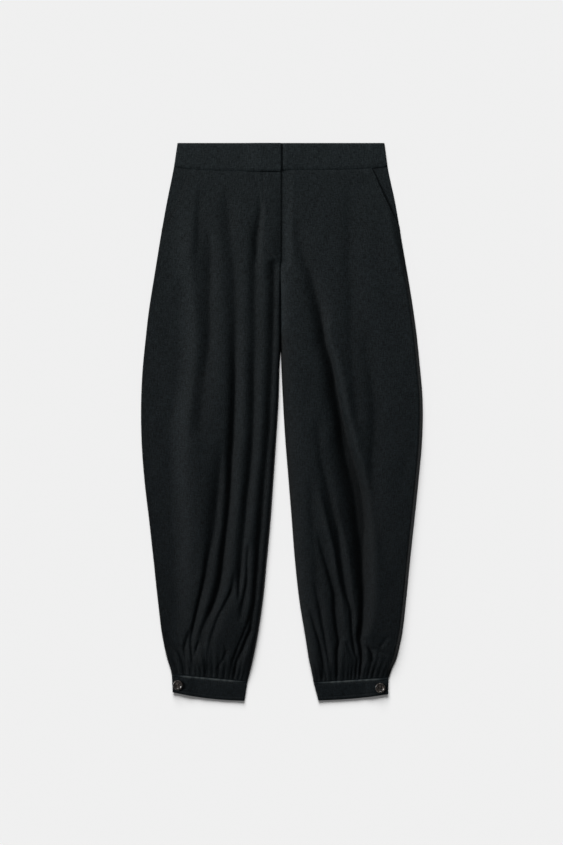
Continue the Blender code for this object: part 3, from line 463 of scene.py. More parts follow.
def inner_edge(leg, down):
    """The inner edge of a leg: the middle seam above the crotch, the inner leg seam below it."""
    centre = WEARER_SIDE[leg] * CENTRE + SEAM / 2
    return np.where(down < CROTCH, centre, np.maximum(outline("inner_" + leg, down), centre))


def pocket_line(down):
    """The pocket mouth, a curve through its table."""
    return smooth_table(POCKET_LINE[:, 0], POCKET_LINE[:, 1], down)


def band_height(leg, across):
    """The waistband's height: its side height plus a rise that nears its full value towards the middle."""
    from_side = np.maximum(outline("outer_" + leg, BAND_SIDE_HEIGHT) - across, 0.0)
    return BAND_SIDE_HEIGHT + BAND_RISE[leg] * (1.0 - np.exp(-from_side / BAND_RISE_REACH))


def cuff_point(leg, share, along):
    """A place on a cuff between its four corners, with a parabola's bow added towards its lower edge."""
    corners = {name: np.array(value) for name, value in CUFF_CORNERS[leg].items() if name != "bow"}
    share = np.asarray(share, dtype=float)[..., None]
    along = np.asarray(along, dtype=float)[..., None]
    upper = corners["inner_top"] * (1 - share) + corners["outer_top"] * share
    lower = corners["inner_bottom"] * (1 - share) + corners["outer_bottom"] * share
    place = upper * (1 - along) + lower * along
    bow = CUFF_CORNERS[leg]["bow"] * 4.0 * share * (1 - share) * along
    return place[..., 0], place[..., 1] + bow[..., 0]


def quarter_arc(radius):
    """Length of a rolled edge that stops just short of a quarter round."""
    return radius * (np.pi / 2 - np.arcsin(EDGE_GAP / 2 / radius))


def rolled_strip(length, roll, radius):
    """How far a strip at a panel's edge reaches and drops: flat when roll is 0, a quarter round at 1."""
    bend = np.maximum(roll, 0.001) / radius
    return np.sin(bend * length) / bend, (1.0 - np.cos(bend * length)) / bend


def long_folds(table, across, down, power):
    """The sum of a table's folds: each its depth times exp(-(distance from its line / width) to a power)."""
    total = np.zeros_like(across)
    for knots in table:
        places, line, depth, inner_width, outer_width = np.array(knots, dtype=float).T
        offset = across - smooth_table(places, line, down)
        inner_side = np.interp(down, places, inner_width)
        width = np.where(offset < 0, inner_side, np.interp(down, places, outer_width))
        shape = np.exp(-np.abs(offset / width) ** power)
        total += np.maximum(smooth_table(places, depth, down), 0.0) * shape
    return total


def strokes(table, across, down):
    """The sum of short straight troughs: a bell across each one times a smooth rise and fall along it."""
    total = np.zeros_like(across)
    for start_across, start_down, end_across, end_down, depth, width in table:
        run = np.array((end_across - start_across, end_down - start_down), dtype=float)
        length = np.hypot(*run)
        run /= length
        along = (across - start_across) * run[0] + (down - start_down) * run[1]
        beside = (across - start_across) * run[1] - (down - start_down) * run[0]
        middle = np.abs(along / length - 0.5) * 2
        total += depth * np.exp(-(beside / width) ** 2) * (1 - smooth_step(*STROKE_FADE, middle))
    return total


def gathers(leg, share, above_cuff):
    """Troughs that fan up from the cuff: bells across the width that widen and fade up the leg."""
    total = np.zeros_like(share)
    rise = np.maximum(above_cuff, 0.0)
    for place, length, depth, width in GATHERS[leg]:
        spread = width * (1 + rise / GATHER_SPREAD)
        total += depth * np.exp(-((share - place) / spread) ** 2 - (rise / length) ** 2)
    at_edges = smooth_step(0.0, GATHER_FADE, share) * smooth_step(0.0, GATHER_FADE, 1 - share)
    swell = GATHER_AT_SEAM + (1 - GATHER_AT_SEAM) * smooth_step(0.0, GATHER_SWELL, rise)
    return GATHER_DEPTH * total * at_edges * swell


def soft_unevenness(across, down):
    """Small waves of the resting cloth: a sum of sines whose lengths don't share a common step."""
    length, bend, sway, tall, slant = FIRST_WAVE
    waves = np.sin(across / length + np.sin(down / bend) * sway) * np.sin(down / tall + across / slant)
    share, length, slant, bend = SECOND_WAVE
    waves += share * np.sin(across / length - down / slant + np.sin(across / bend))
    share, tall, bend, sway, length, start = THIRD_WAVE
    waves += share * np.sin(down / tall + np.sin(across / bend) * sway) * np.sin(across / length + start)
    return waves


def sewn_puckers(along, distance, reach):
    """Fine ripples that a line of stitches draws into the cloth beside it, fading over their reach."""
    length, sway, bend = PUCKER_WAVE
    ripple = np.sin(along / length + sway * np.sin(along / bend))
    share, length, start = SECOND_PUCKER_WAVE
    ripple += share * np.sin(along / length + start)
    return ripple * np.exp(-(distance / reach) ** 2)


def soft_floor(height, lowest):
    """Keeps a height above its lowest value, with a smooth turn between the two."""
    return lowest + LOWEST_SOFTNESS * np.log1p(np.exp((height - lowest) / LOWEST_SOFTNESS))


# The fly's stitched line
FLY_STITCH_ACROSS = 33.0
FLY_STITCH_FOOT = 6.0
FLY_STITCH_TOP = 52.0
FLY_STITCH_TURN = 172.0
FLY_STITCH_END = 206.0
FLY_STRAIGHT_POINTS = 60
FLY_CURVE_POINTS = 29
FLY_STITCH_DIP = 0.35
FLY_STITCH_DIP_AT_FOOT = 1.1
FLY_STITCH_FOOT_RAMP = (185.0, 204.0)
FLY_STITCH_WIDTH = 2.2


def fly_stitch_path():
    """The fly's stitched line, across and down: straight from the waist, then a quarter of an ellipse."""
    straight = np.linspace(FLY_STITCH_TOP, FLY_STITCH_TURN, FLY_STRAIGHT_POINTS)
    angle = np.linspace(0.0, np.pi / 2, FLY_CURVE_POINTS + 1)[1:]
    curve_across = FLY_STITCH_ACROSS - (FLY_STITCH_ACROSS - FLY_STITCH_FOOT) * (1 - np.cos(angle))
    curve_down = FLY_STITCH_TURN + (FLY_STITCH_END - FLY_STITCH_TURN) * np.sin(angle)
    across = np.concatenate((np.full(FLY_STRAIGHT_POINTS, FLY_STITCH_ACROSS), curve_across))
    return across, np.concatenate((straight, curve_down))


def fly_stitch_dip(across, down):
    """A narrow trough along the fly's stitches, deeper at the foot of the curve."""
    path_across, path_down = fly_stitch_path()
    nearest = np.hypot(across[..., None] - path_across[::2], down[..., None] - path_down[::2]).min(axis=-1)
    at_foot = smooth_step(*FLY_STITCH_FOOT_RAMP, down)
    depth = FLY_STITCH_DIP + (FLY_STITCH_DIP_AT_FOOT - FLY_STITCH_DIP) * at_foot
    return depth * np.exp(-(nearest / FLY_STITCH_WIDTH) ** 2)


def front_height(leg, across, down, real_down, share, side):
    """Height of the front cloth: a loft over its edges, with the ridges added and the troughs taken off."""
    inner = inner_edge(leg, down)
    from_inner = np.maximum(across - inner, 0.0)
    from_side = np.maximum(side - across, 0.0)
    reach, start, end = [np.interp(down, RISE[leg][:, 0], RISE[leg][:, number]) for number in (1, 2, 3)]
    middle = (1 - np.exp(-from_inner / reach)) * smooth_step(0.0, 1.0, (from_side - start) / (end - start))
    height = 2 * EDGE_RADIUS + smooth_table(LOFT[:, 0], LOFT[:, 1], down) * middle
    inside = smooth_step(0.0, INNER_FADE, from_inner) * smooth_step(0.0, SIDE_FADE, from_side)
    hollow = long_folds(CREASES[leg], across, real_down, CREASE_POWER) * inside
    height += long_folds(RIDGES[leg], across, real_down, RIDGE_POWER) * inside
    height -= hollow
    height -= strokes(STROKES[leg], across, real_down) * inside
    height -= gathers(leg, share, CUFF_LINE - down) * inside
    resting = smooth_step(*UNEVEN_START, down) * (1 - smooth_step(*UNEVEN_END, down))
    height += UNEVENNESS * soft_unevenness(WEARER_SIDE[leg] * across, down) * inside * resting
    above = real_down - (band_height(leg, across) + SEAM)
    near_fly = smooth_step(*NEAR_FLY_START, across) * (1 - smooth_step(*NEAR_FLY_END, across)) * (leg == "r")
    height -= SEAM_DIP * (1 + NEAR_FLY_DIP * near_fly) * np.exp(-(above / SEAM_DIP_WIDTH) ** 2)
    height += PUCKER_DEPTH * sewn_puckers(across, above, PUCKER_REACH)
    sewn_middle = smooth_step(*SEWN_MIDDLE_START, down) * (1 - smooth_step(*SEWN_MIDDLE_END, down))
    deeper = 1 + SEWN_MIDDLE_DIP * smooth_step(FLY_END, CROTCH, down)
    height -= SEAM_DIP * deeper * sewn_middle * np.exp(-(from_inner / MIDDLE_DIP_WIDTH) ** 2)
    if leg == "r":
        height -= fly_stitch_dip(across, real_down)
    height = soft_floor(height, LOWEST_FRONT + LOWEST_RISE * smooth_step(*LOWEST_RISE_RAMP, down))
    if leg == "l":
        under_fly = 1 - smooth_step(*FLY_TUCK_RAMP, across - CENTRE)
        under_fly = under_fly * (1 - smooth_step(*FLY_TUCK_FADE, down))
        height = height - (height - LOWEST_UNDER_FLY) * under_fly
    return height, front_cloth_painted_shade(leg, across, down, hollow, from_inner, from_side)


def front_cloth_painted_shade(leg, across, down, hollow, from_inner, from_side):
    """Painted shade of the front cloth: 1 less what painted shade takes off in its hollows, along its turned
    edges, near the crotch and at the pocket mouth.
    """
    # Painted shade in the hollows of the folds, darker where they are deeper
    tone = 1 - (1 - HOLLOW_PAINTED_SHADE) * np.tanh(hollow / HOLLOW_SHADE_DEPTH)
    # Painted shade along the turned side edge
    tone *= edge_painted_shade(from_side, EDGE_PAINTED_SHADE, EDGE_SHADE_REACH)
    # Painted shade at the pocket mouth, on the right leg only
    at_pocket = 1 - smooth_step(POCKET_TURN[0], POCKET_END, down)
    from_mouth = np.abs(pocket_line(down) - across)
    tone *= 1 - at_pocket + at_pocket * edge_painted_shade(from_mouth, MOUTH_PAINTED_SHADE[leg], MOUTH_SHADE_REACH)
    # Painted shade along the inner turned edge below the crotch, darker and wider on the left leg near the
    # crotch
    near_crotch = (1 - smooth_step(*CROTCH_SHADE_FADE, down)) * (leg == "l")
    reach = EDGE_SHADE_REACH + (CROTCH_SHADE_REACH - EDGE_SHADE_REACH) * near_crotch
    lowest_tone = EDGE_PAINTED_SHADE + (CROTCH_PAINTED_SHADE - EDGE_PAINTED_SHADE) * near_crotch
    below = smooth_step(*CROTCH_SHADE_START, down)
    return tone * (1 - below + below * edge_painted_shade(from_inner, lowest_tone, reach))


def edge_painted_shade(distance, lowest_tone, reach):
    """Painted shade near a turned edge or a mouth: the tone at its lowest at the edge, nearing 1 over its
    reach.
    """
    return 1 - (1 - lowest_tone) * np.exp(-distance / reach)


def cuff_seam(leg, share):
    """The cuff's top edge, less the seam's gap."""
    return cuff_point(leg, share, np.zeros_like(share))[1] - SEAM


def real_rows(leg, share, down, first_row, top_line):
    """Rows follow the waist seam at the top and the slanted cuff seam at the bottom."""
    to_top = (1 - smooth_step(*WAIST_BLEND, down)) * (top_line - first_row)
    return down + to_top + smooth_step(*CUFF_BLEND, down) * (cuff_seam(leg, share) - CUFF_LINE)


def front_surface(leg):
    """Outer points of a front panel: a flat-edged strip of columns between two rolled edges."""
    rows = row_places(FIRST_FRONT_ROW, CUFF_LINE, FRONT_ROWS)
    columns, down = np.meshgrid(np.arange(ACROSS + 2 * ARC + 1, dtype=float), rows)
    inner_roll = smooth_step(*CROTCH_TURN, down)
    outer_roll = smooth_step(*POCKET_TURN, down)
    arc = quarter_arc(EDGE_RADIUS)
    inner_strip = np.clip((ARC - columns) / ARC, 0.0, 1.0) * arc
    outer_strip = np.clip((columns - ARC - ACROSS) / ARC, 0.0, 1.0) * arc
    share = np.clip(columns - ARC, 0, ACROSS) / ACROSS
    inner_reach, inner_drop = rolled_strip(inner_strip, inner_roll, EDGE_RADIUS)
    outer_reach, outer_drop = rolled_strip(outer_strip, outer_roll, EDGE_RADIUS)
    inner_width = rolled_strip(arc, inner_roll, EDGE_RADIUS)[0]
    outer_width = rolled_strip(arc, outer_roll, EDGE_RADIUS)[0]
    real_down = down
    for _ in range(ROW_PASSES):
        start = inner_edge(leg, real_down)
        if leg == "l":
            start = start - FLY_UNDERLAP * (1 - smooth_step(*FLY_TURN, real_down))
        side = outline("outer_" + leg, real_down)
        mouth = np.minimum(side, pocket_line(real_down))
        end = mouth + (side - mouth) * smooth_step(POCKET_TURN[0], POCKET_END, real_down)
        first = start + inner_width
        across = first + (end - outer_width - first) * share - inner_reach + outer_reach
        real_down = real_rows(leg, share, down, FIRST_FRONT_ROW, band_height(leg, across) + SEAM)
    height, tone = front_height(leg, across, down, real_down, share, side)
    return placed(leg, across, real_down, height - inner_drop - outer_drop), tone


def row_places(first, last, count):
    """Rows down a panel, closer at the gathers: an even run plus a share of it less its cube."""
    even = np.linspace(0.0, 1.0, count)
    return first + (last - first) * (even * (1 + ROW_CROWDING) - ROW_CROWDING * even ** 3)


def placed(leg, across, down, height):
    """Grid points in millimetres, as rows by columns by three, from across, down and height."""
    return np.stack(np.broadcast_arrays(WEARER_SIDE[leg] * across, TOP - down, height), axis=-1)


def back_surface(leg):
    """Outer points of a back panel: flat on the floor with low pressed folds, its two edges turned up."""
    rows = row_places(FIRST_BACK_ROW, CUFF_LINE, BACK_ROWS)
    columns, down = np.meshgrid(np.arange(BACK_ACROSS + 2 * ARC + 1, dtype=float), rows)
    inner_roll = smooth_step(*CROTCH_TURN, down)
    radius = HIP_RADIUS + (EDGE_RADIUS - HIP_RADIUS) * smooth_step(*HIP_TURN, down)
    inner_arc = quarter_arc(EDGE_RADIUS)
    outer_arc = quarter_arc(radius)
    inner_strip = np.clip((ARC - columns) / ARC, 0.0, 1.0) * inner_arc
    outer_strip = np.clip((columns - ARC - BACK_ACROSS) / ARC, 0.0, 1.0) * outer_arc
    share = np.clip(columns - ARC, 0, BACK_ACROSS) / BACK_ACROSS
    real_down = real_rows(leg, share, down, FIRST_BACK_ROW, FIRST_BACK_ROW)
    inner_reach, inner_lift = rolled_strip(inner_strip, inner_roll, EDGE_RADIUS)
    outer_reach, outer_lift = rolled_strip(outer_strip, 1.0, radius)
    first = inner_edge(leg, real_down) + rolled_strip(inner_arc, inner_roll, EDGE_RADIUS)[0]
    last = outline("outer_" + leg, real_down) - rolled_strip(outer_arc, 1.0, radius)[0]
    across = first + (last - first) * share - inner_reach + outer_reach
    at_edges = smooth_step(0.0, BACK_EDGE_FADE, share) * smooth_step(0.0, BACK_EDGE_FADE, 1 - share)
    grooves = BACK_GATHER_DEPTH * gathers(leg, share, CUFF_LINE - down)
    grooves += BACK_CREASE_DEPTH * long_folds(CREASES[leg], across, down, CREASE_POWER)
    grooves = BACK_CREASE_MOST * np.tanh(grooves / BACK_CREASE_MOST) * at_edges
    return placed(leg, across, real_down, grooves + inner_lift + outer_lift)


POCKET_ACROSS = 30
POCKET_ROWS = 90
POCKET_TOP = 3.0


def pocket_surface(leg):
    """Outer points of the pocket's facing: flat, running under the front's edge, rolled at the side."""
    rows = np.linspace(FIRST_POCKET_ROW, POCKET_LAST_ROW, POCKET_ROWS)
    columns, down = np.meshgrid(np.arange(POCKET_ACROSS + ARC + 1, dtype=float), rows)
    arc = quarter_arc(HIP_RADIUS)
    share = np.clip(columns, 0, POCKET_ACROSS) / POCKET_ACROSS
    reach, drop = rolled_strip(np.clip((columns - POCKET_ACROSS) / ARC, 0.0, 1.0) * arc, 1.0, HIP_RADIUS)
    real_down = down
    for _ in range(ROW_PASSES):
        start = pocket_line(real_down) - POCKET_UNDER
        end = outline("outer_" + leg, real_down) - rolled_strip(arc, 1.0, HIP_RADIUS)[0]
        across = start + (end - start) * share + reach
        to_top = band_height(leg, across) + SEAM - FIRST_POCKET_ROW
        real_down = down + (1 - smooth_step(*POCKET_WAIST_BLEND, down)) * to_top
    return placed(leg, across, real_down, POCKET_TOP - drop)


BAND_ACROSS = 120
BAND_ROWS = 26
BAND_PRESS = ((4.2, 0.35, 1.1), (9.6, 0.22, 1.2))
BAND_BOTTOM_PRESS = (2.6, 0.3, 1.1)
BAND_EDGE_ROUND = 1.6
BAND_EDGE_DROP = 0.9
BAND_UNEVENNESS = 0.14
BAND_WAVE = (23.0, 9.0, 14.0, 0.6)
BAND_PUCKER_DEPTH = 0.072
BAND_PUCKER_REACH = 8.0
BAND_BACK_PRESS = 0.3
BAND_BACK_FADE = 8.0


def band_front_surface(leg):
    """Outer points of half the front waistband: flat, its long edges rounded down, rolled at the side."""
    along, columns = np.meshgrid(edge_dense(BAND_ROWS), np.arange(BAND_ACROSS + ARC + 1, dtype=float),
                                 indexing="ij")
    arc = quarter_arc(BAND_RADIUS)
    share = np.clip(columns, 0, BAND_ACROSS) / BAND_ACROSS
    reach, drop = rolled_strip(np.clip((columns - BAND_ACROSS) / ARC, 0.0, 1.0) * arc, 1.0, BAND_RADIUS)
    centre = WEARER_SIDE[leg] * CENTRE + SEAM / 2
    start = centre - BAND_UNDERLAP if leg == "l" else centre
    real_down = along * BAND_SIDE_HEIGHT
    for _ in range(ROW_PASSES):
        end = outline("outer_" + leg, real_down) - rolled_strip(arc, 1.0, BAND_RADIUS)[0]
        across = start + (end - start) * share + reach
        full = band_height(leg, across)
        real_down = along * full
    height = 2 * BAND_RADIUS + np.zeros_like(across)
    if leg == "l":
        height = height - BAND_TUCK * (1 - smooth_step(*BAND_TUCK_RAMP, across - centre))
    else:
        past_lap = across - BAND_UNDERLAP - BAND_LIFT_CLEAR
        height = height + BAND_LIFT * (1 - smooth_step(0.0, BAND_LIFT_RAMP, past_lap))
    for place, depth, width in BAND_PRESS:
        height -= depth * np.exp(-((real_down - place) / width) ** 2)
    from_seam = full - real_down
    place, depth, width = BAND_BOTTOM_PRESS
    height -= depth * np.exp(-((from_seam - place) / width) ** 2)
    height -= BAND_EDGE_DROP * (np.exp(-(from_seam / BAND_EDGE_ROUND) ** 2)
                                + np.exp(-(real_down / BAND_EDGE_ROUND) ** 2))
    length, bend, tall, start = BAND_WAVE
    wave = np.sin(across / length + np.sin(across / bend)) * np.sin(real_down / tall + start)
    height += BAND_UNEVENNESS * wave
    height += BAND_PUCKER_DEPTH * sewn_puckers(across, from_seam, BAND_PUCKER_REACH)
    return placed(leg, across, real_down, height - drop)


def edge_dense(count):
    """Shares from 0 to 1 that crowd at both ends: half of one less a cosine, mixed with an even run."""
    even = np.linspace(0.0, 1.0, count)
    return 0.5 * even + 0.25 * (1 - np.cos(np.pi * even))


def band_back_surface():
    """Outer points of the back waistband: flat on the floor from side to side, turned up at both ends."""
    along, columns = np.meshgrid(edge_dense(BAND_ROWS), np.arange(BAND_ACROSS + 2 * ARC + 1, dtype=float),
                                 indexing="ij")
    down = along * BAND_SIDE_HEIGHT
    arc = quarter_arc(BAND_RADIUS)
    right_strip = np.clip((ARC - columns) / ARC, 0.0, 1.0) * arc
    left_strip = np.clip((columns - ARC - BAND_ACROSS) / ARC, 0.0, 1.0) * arc
    share = np.clip(columns - ARC, 0, BAND_ACROSS) / BAND_ACROSS
    right_reach, right_lift = rolled_strip(right_strip, 1.0, BAND_RADIUS)
    left_reach, left_lift = rolled_strip(left_strip, 1.0, BAND_RADIUS)
    width = rolled_strip(arc, 1.0, BAND_RADIUS)[0]
    first = width - outline("outer_r", down)
    last = outline("outer_l", down) - width
    across = first + (last - first) * share - right_reach + left_reach
    groove = BAND_BACK_PRESS * np.exp(-((down - BAND_PRESS[0][0]) / BAND_PRESS[0][2]) ** 2)
    groove = groove * smooth_step(0.0, BAND_BACK_FADE, across - first)
    groove = groove * smooth_step(0.0, BAND_BACK_FADE, last - across)
    return placed("l", across, down, right_lift + left_lift + groove)


CUFF_FRONT_STEPS = 90
CUFF_BACK_STEPS = 50
CUFF_TURN_STEPS = 12
CUFF_LAP_STEPS = 12
CUFF_ROWS = 36
CUFF_BEAD = 1.15
CUFF_BEAD_LEAST = 0.6
CUFF_BEAD_PLACE = 1.9
CUFF_BEAD_WIDTH = 1.3
CUFF_RIPPLE = (2.7, 1.9, 8.0)
CUFF_WAVE = (0.22, 15.0, 1.0, 8.0)
CUFF_SECOND_WAVE = (0.1, 5.1)
# The waistband's tone is painted lighter than the legs, a painted light
BAND_PAINTED_LIGHT = 1.16
CUFF_CLOTH_TONE = 1.4
# Painted highlight along the cuff's top bead: its strength, its least share along the ripple, where it lies,
# how wide it is and how it fades
CUFF_BEAD_HIGHLIGHT = 2.6
CUFF_HIGHLIGHT_LEAST = 0.5
CUFF_HIGHLIGHT_PLACE = 2.3
CUFF_HIGHLIGHT_WIDTH = 1.8
CUFF_HIGHLIGHT_FADE = 34.0
CUFF_STITCH_PLACE = 5.4
CUFF_STITCH_DIP = 0.32
CUFF_STITCH_WIDTH = 1.1
CUFF_EDGE_DROP = 0.8
CUFF_TOP_ROUND = 0.9
CUFF_END_ROUND = 1.3
CUFF_FOLD_FADE = 6.0
CUFF_END_FADE = 4.0


def half_round(centre, radius, start_angle):
    """Points on a half circle in a cuff's section, going round towards the floor or up from it."""
    angles = np.radians(start_angle) + np.pi * np.arange(1, CUFF_TURN_STEPS) / CUFF_TURN_STEPS
    return np.stack((centre + radius * np.cos(angles), radius + radius * np.sin(angles)), axis=1)


def cuff_section(width):
    """A cuff's section as distance from its inner edge and height: front, fold, back, turn and underlap."""
    lap_radius = CUFF_CLOTH + SEAM / 2
    front = np.linspace(width - CUFF_LAP_INSET, CUFF_FOLD, CUFF_FRONT_STEPS + 1)
    over_lap = smooth_step(-CUFF_LIFT_RAMP, 0.0, front - width + CUFF_UNDERLAP + CUFF_LIFT_CLEAR)
    top = 2 * CUFF_FOLD + (CUFF_LAP_TOP - 2 * CUFF_FOLD) * over_lap
    back = np.linspace(CUFF_FOLD, width - lap_radius, CUFF_BACK_STEPS + 1)
    under = np.linspace(width - lap_radius, width - CUFF_UNDERLAP, CUFF_LAP_STEPS)
    return np.concatenate((
        np.stack((front, top), axis=1),
        half_round(CUFF_FOLD, CUFF_FOLD, 90.0),
        np.stack((back, np.zeros_like(back)), axis=1),
        half_round(width - lap_radius, lap_radius, -90.0),
        np.stack((under, np.full_like(under, 2 * lap_radius)), axis=1),
    ))


def cuff_surface(leg):
    """Outer points of a cuff and their tone: its section carried down, with a raised bead at the top that
    has a painted highlight.
    """
    layers = []
    tones = []
    for along in edge_dense(CUFF_ROWS):
        ends = [cuff_point(leg, np.array(share), np.array(along))[0] for share in (0.0, 1.0)]
        width = float(ends[1] - ends[0])
        section = cuff_section(width)
        across, down = cuff_point(leg, section[:, 0] / width, np.full(len(section), along))
        upper = cuff_point(leg, section[:, 0] / width, np.zeros(len(section)))[1]
        lower = cuff_point(leg, section[:, 0] / width, np.ones(len(section)))[1]
        from_top = down - upper
        from_end = lower - down
        is_front = np.arange(len(section)) <= CUFF_FRONT_STEPS
        length, sway, bend = CUFF_RIPPLE
        ripple = 0.5 + 0.5 * np.sin(across / length + sway * np.sin(across / bend))
        bead = CUFF_BEAD_LEAST + (1 - CUFF_BEAD_LEAST) * ripple
        change = CUFF_BEAD * bead * np.exp(-((from_top - CUFF_BEAD_PLACE) / CUFF_BEAD_WIDTH) ** 2)
        for away in (from_top, from_end):
            change -= CUFF_STITCH_DIP * np.exp(-((away - CUFF_STITCH_PLACE) / CUFF_STITCH_WIDTH) ** 2)
        change -= CUFF_EDGE_DROP * np.exp(-(from_top / CUFF_TOP_ROUND) ** 2)
        change -= CUFF_EDGE_DROP * np.exp(-(from_end / CUFF_END_ROUND) ** 2)
        most, length, start, tall = CUFF_WAVE
        change += most * np.sin(across / length + start) * np.sin(from_top / tall)
        most, length = CUFF_SECOND_WAVE
        change += most * np.sin(across / length)
        fade = smooth_step(0.0, CUFF_FOLD_FADE, section[:, 0])
        fade = fade * smooth_step(0.0, CUFF_END_FADE, width - section[:, 0])
        layers.append(placed(leg, across, down, section[:, 1] + change * fade * is_front))
        # Painted highlight along the cuff's top bead
        bead_highlight = CUFF_HIGHLIGHT_LEAST + (1 - CUFF_HIGHLIGHT_LEAST) * ripple
        bead_highlight *= np.exp(-((from_top - CUFF_HIGHLIGHT_PLACE) / CUFF_HIGHLIGHT_WIDTH) ** 2)
        bead_highlight *= smooth_step(0.0, CUFF_HIGHLIGHT_FADE, section[:, 0])
        bead_highlight *= smooth_step(0.0, CUFF_HIGHLIGHT_FADE, width - section[:, 0])
        tones.append(CUFF_CLOTH_TONE * (1 + CUFF_BEAD_HIGHLIGHT * bead_highlight * is_front))
    return np.array(layers), np.array(tones)


def grid_normals(points):
    """Unit normals of a grid, from its changes across and down."""
    normal = np.cross(np.gradient(points, axis=1), np.gradient(points, axis=0))
    return normal / np.linalg.norm(normal, axis=-1, keepdims=True)


def grid_faces(rows, columns):
    """Corner numbers of the quads between neighbouring rows and columns."""
    first = (np.arange(rows - 1)[:, None] * columns + np.arange(columns - 1)[None, :]).ravel()
    return np.stack((first, first + 1, first + columns + 1, first + columns), axis=1)


def rim_order(rows, columns):
    """The numbers of a grid's outermost points, in order round it."""
    numbers = np.arange(rows * columns).reshape(rows, columns)
    return np.concatenate((numbers[0, :-1], numbers[:-1, -1], numbers[-1, :0:-1], numbers[:0:-1, 0]))


def grain_lengths(points):
    """Cloth coordinates in metres: lengths across from the middle column, and down from the first row."""
    across = np.linalg.norm(np.diff(points, axis=1), axis=-1)
    across = np.concatenate((np.zeros((len(points), 1)), np.cumsum(across, axis=1)), axis=1)
    across -= across[:, across.shape[1] // 2][:, None]
    down = np.linalg.norm(np.diff(points, axis=0), axis=-1)
    down = np.concatenate((np.zeros((1, points.shape[1])), np.cumsum(down, axis=0)), axis=0)
    return np.stack((across, down), axis=-1) * MM


def new_object(name, points, faces):
    """A smooth-shaded object whose place is in its mesh, from points in millimetres."""
    mesh = bpy.data.meshes.new(name)
    mesh.from_pydata(points.reshape(-1, 3) * MM, [], faces)
    mesh.shade_smooth()
    item = bpy.data.objects.new(name, mesh)
    bpy.context.scene.collection.objects.link(item)
    return item


def give_painted_tone(item, tone):
    """Stores the tone of the cloth at an object's points: its painted shade, painted light and painted
    highlight.
    """
    layer = item.data.attributes.new("tone", "FLOAT", "POINT")
    layer.data.foreach_set("value", tone.astype(np.float32))


def give_grain(item, grain):
    """Stores the cloth coordinates of an object's points as its UV map."""
    layer = item.data.uv_layers.new(name="grain")
    corner = np.empty(len(item.data.loops), dtype=np.int32)
    item.data.loops.foreach_get("vertex_index", corner)
    layer.data.foreach_set("uv", grain[corner].astype(np.float32).ravel())


def ring_faces(rings, sides):
    """Quads between neighbouring rings of points, and the two end faces, as arrays of corner numbers."""
    numbers = np.arange(rings * sides).reshape(rings, sides)
    ahead = np.roll(numbers, -1, axis=1)
    quads = np.stack((numbers[:-1], ahead[:-1], ahead[1:], numbers[1:]), axis=-1).reshape(-1, 4)
    return quads, np.stack((numbers[0][::-1], numbers[-1]))


def cloth_shell(name, outer, facing, thickness, tone=None, rim_steps=2):
    """A closed sheet: the outer grid, the grid one thickness behind it, and a half-round rim between them.

    facing is 1 where the change across times the change down points out of the cloth, else -1."""
    if tone is None:
        tone = np.ones(outer.shape[:2])
    if facing < 0:
        outer = outer[:, ::-1]
        tone = tone[:, ::-1]
    rows, columns = outer.shape[:2]
    inner = outer - grid_normals(outer) * thickness
    grain = grain_lengths(outer).reshape(-1, 2)
    ring = rim_order(rows, columns)
    outer_ring = outer.reshape(-1, 3)[ring]
    inner_ring = inner.reshape(-1, 3)[ring]
    away = np.zeros_like(outer)
    away[0] += outer[0] - outer[1]
    away[-1] += outer[-1] - outer[-2]
    away[:, 0] += outer[:, 0] - outer[:, 1]
    away[:, -1] += outer[:, -1] - outer[:, -2]
    away = away.reshape(-1, 3)[ring]
    away /= np.linalg.norm(away, axis=1, keepdims=True)
    angles = np.pi * np.arange(1, rim_steps + 1) / (rim_steps + 1)
    middle = (outer_ring + inner_ring) / 2
    half = (outer_ring - inner_ring) / 2
    bulge = away * thickness / 2
    rims = [middle + half * np.cos(angle) + bulge * np.sin(angle) for angle in angles]
    points = np.concatenate([outer.reshape(-1, 3), inner.reshape(-1, 3)] + rims)
    count = rows * columns
    loops = [ring] + [2 * count + len(ring) * number + np.arange(len(ring)) for number in range(rim_steps)]
    loops.append(ring + count)
    faces = [grid_faces(rows, columns), grid_faces(rows, columns)[:, ::-1] + count]
    for upper, lower in zip(loops[:-1], loops[1:]):
        faces.append(np.stack((upper, lower, np.roll(lower, -1), np.roll(upper, -1)), axis=1))
    grain = np.concatenate([grain, grain] + [grain[ring]] * rim_steps)
    tone = tone.ravel()
    tone = np.concatenate([tone, tone] + [tone[ring]] * rim_steps)
    item = new_object(name, points, np.concatenate(faces).tolist())
    give_painted_tone(item, tone)
    give_grain(item, grain)
    return item


UPWARDS = np.array((0.0, 0.0, 1.0))
THREAD_SIDES = 8
THREAD_POINT = 0.05


def thread_tube(name, path, radius, flatness):
    """A closed thread: a circle carried along a path, flattened in height, with pointed ends."""
    tangent = np.gradient(path, axis=0)
    tangent /= np.linalg.norm(tangent, axis=1, keepdims=True)
    side = np.cross(tangent, UPWARDS)
    side /= np.linalg.norm(side, axis=1, keepdims=True)
    up = np.cross(side, tangent)
    angles = 2 * np.pi * np.arange(THREAD_SIDES) / THREAD_SIDES
    taper = np.ones(len(path))
    taper[[0, -1]] = THREAD_POINT
    ring = side[:, None] * np.cos(angles)[None, :, None]
    ring = ring + up[:, None] * (np.sin(angles) * flatness)[None, :, None]
    points = path[:, None] + ring * (radius * taper)[:, None, None]
    quads, ends = ring_faces(len(path), THREAD_SIDES)
    return new_object(name, points, quads.tolist() + ends.tolist())


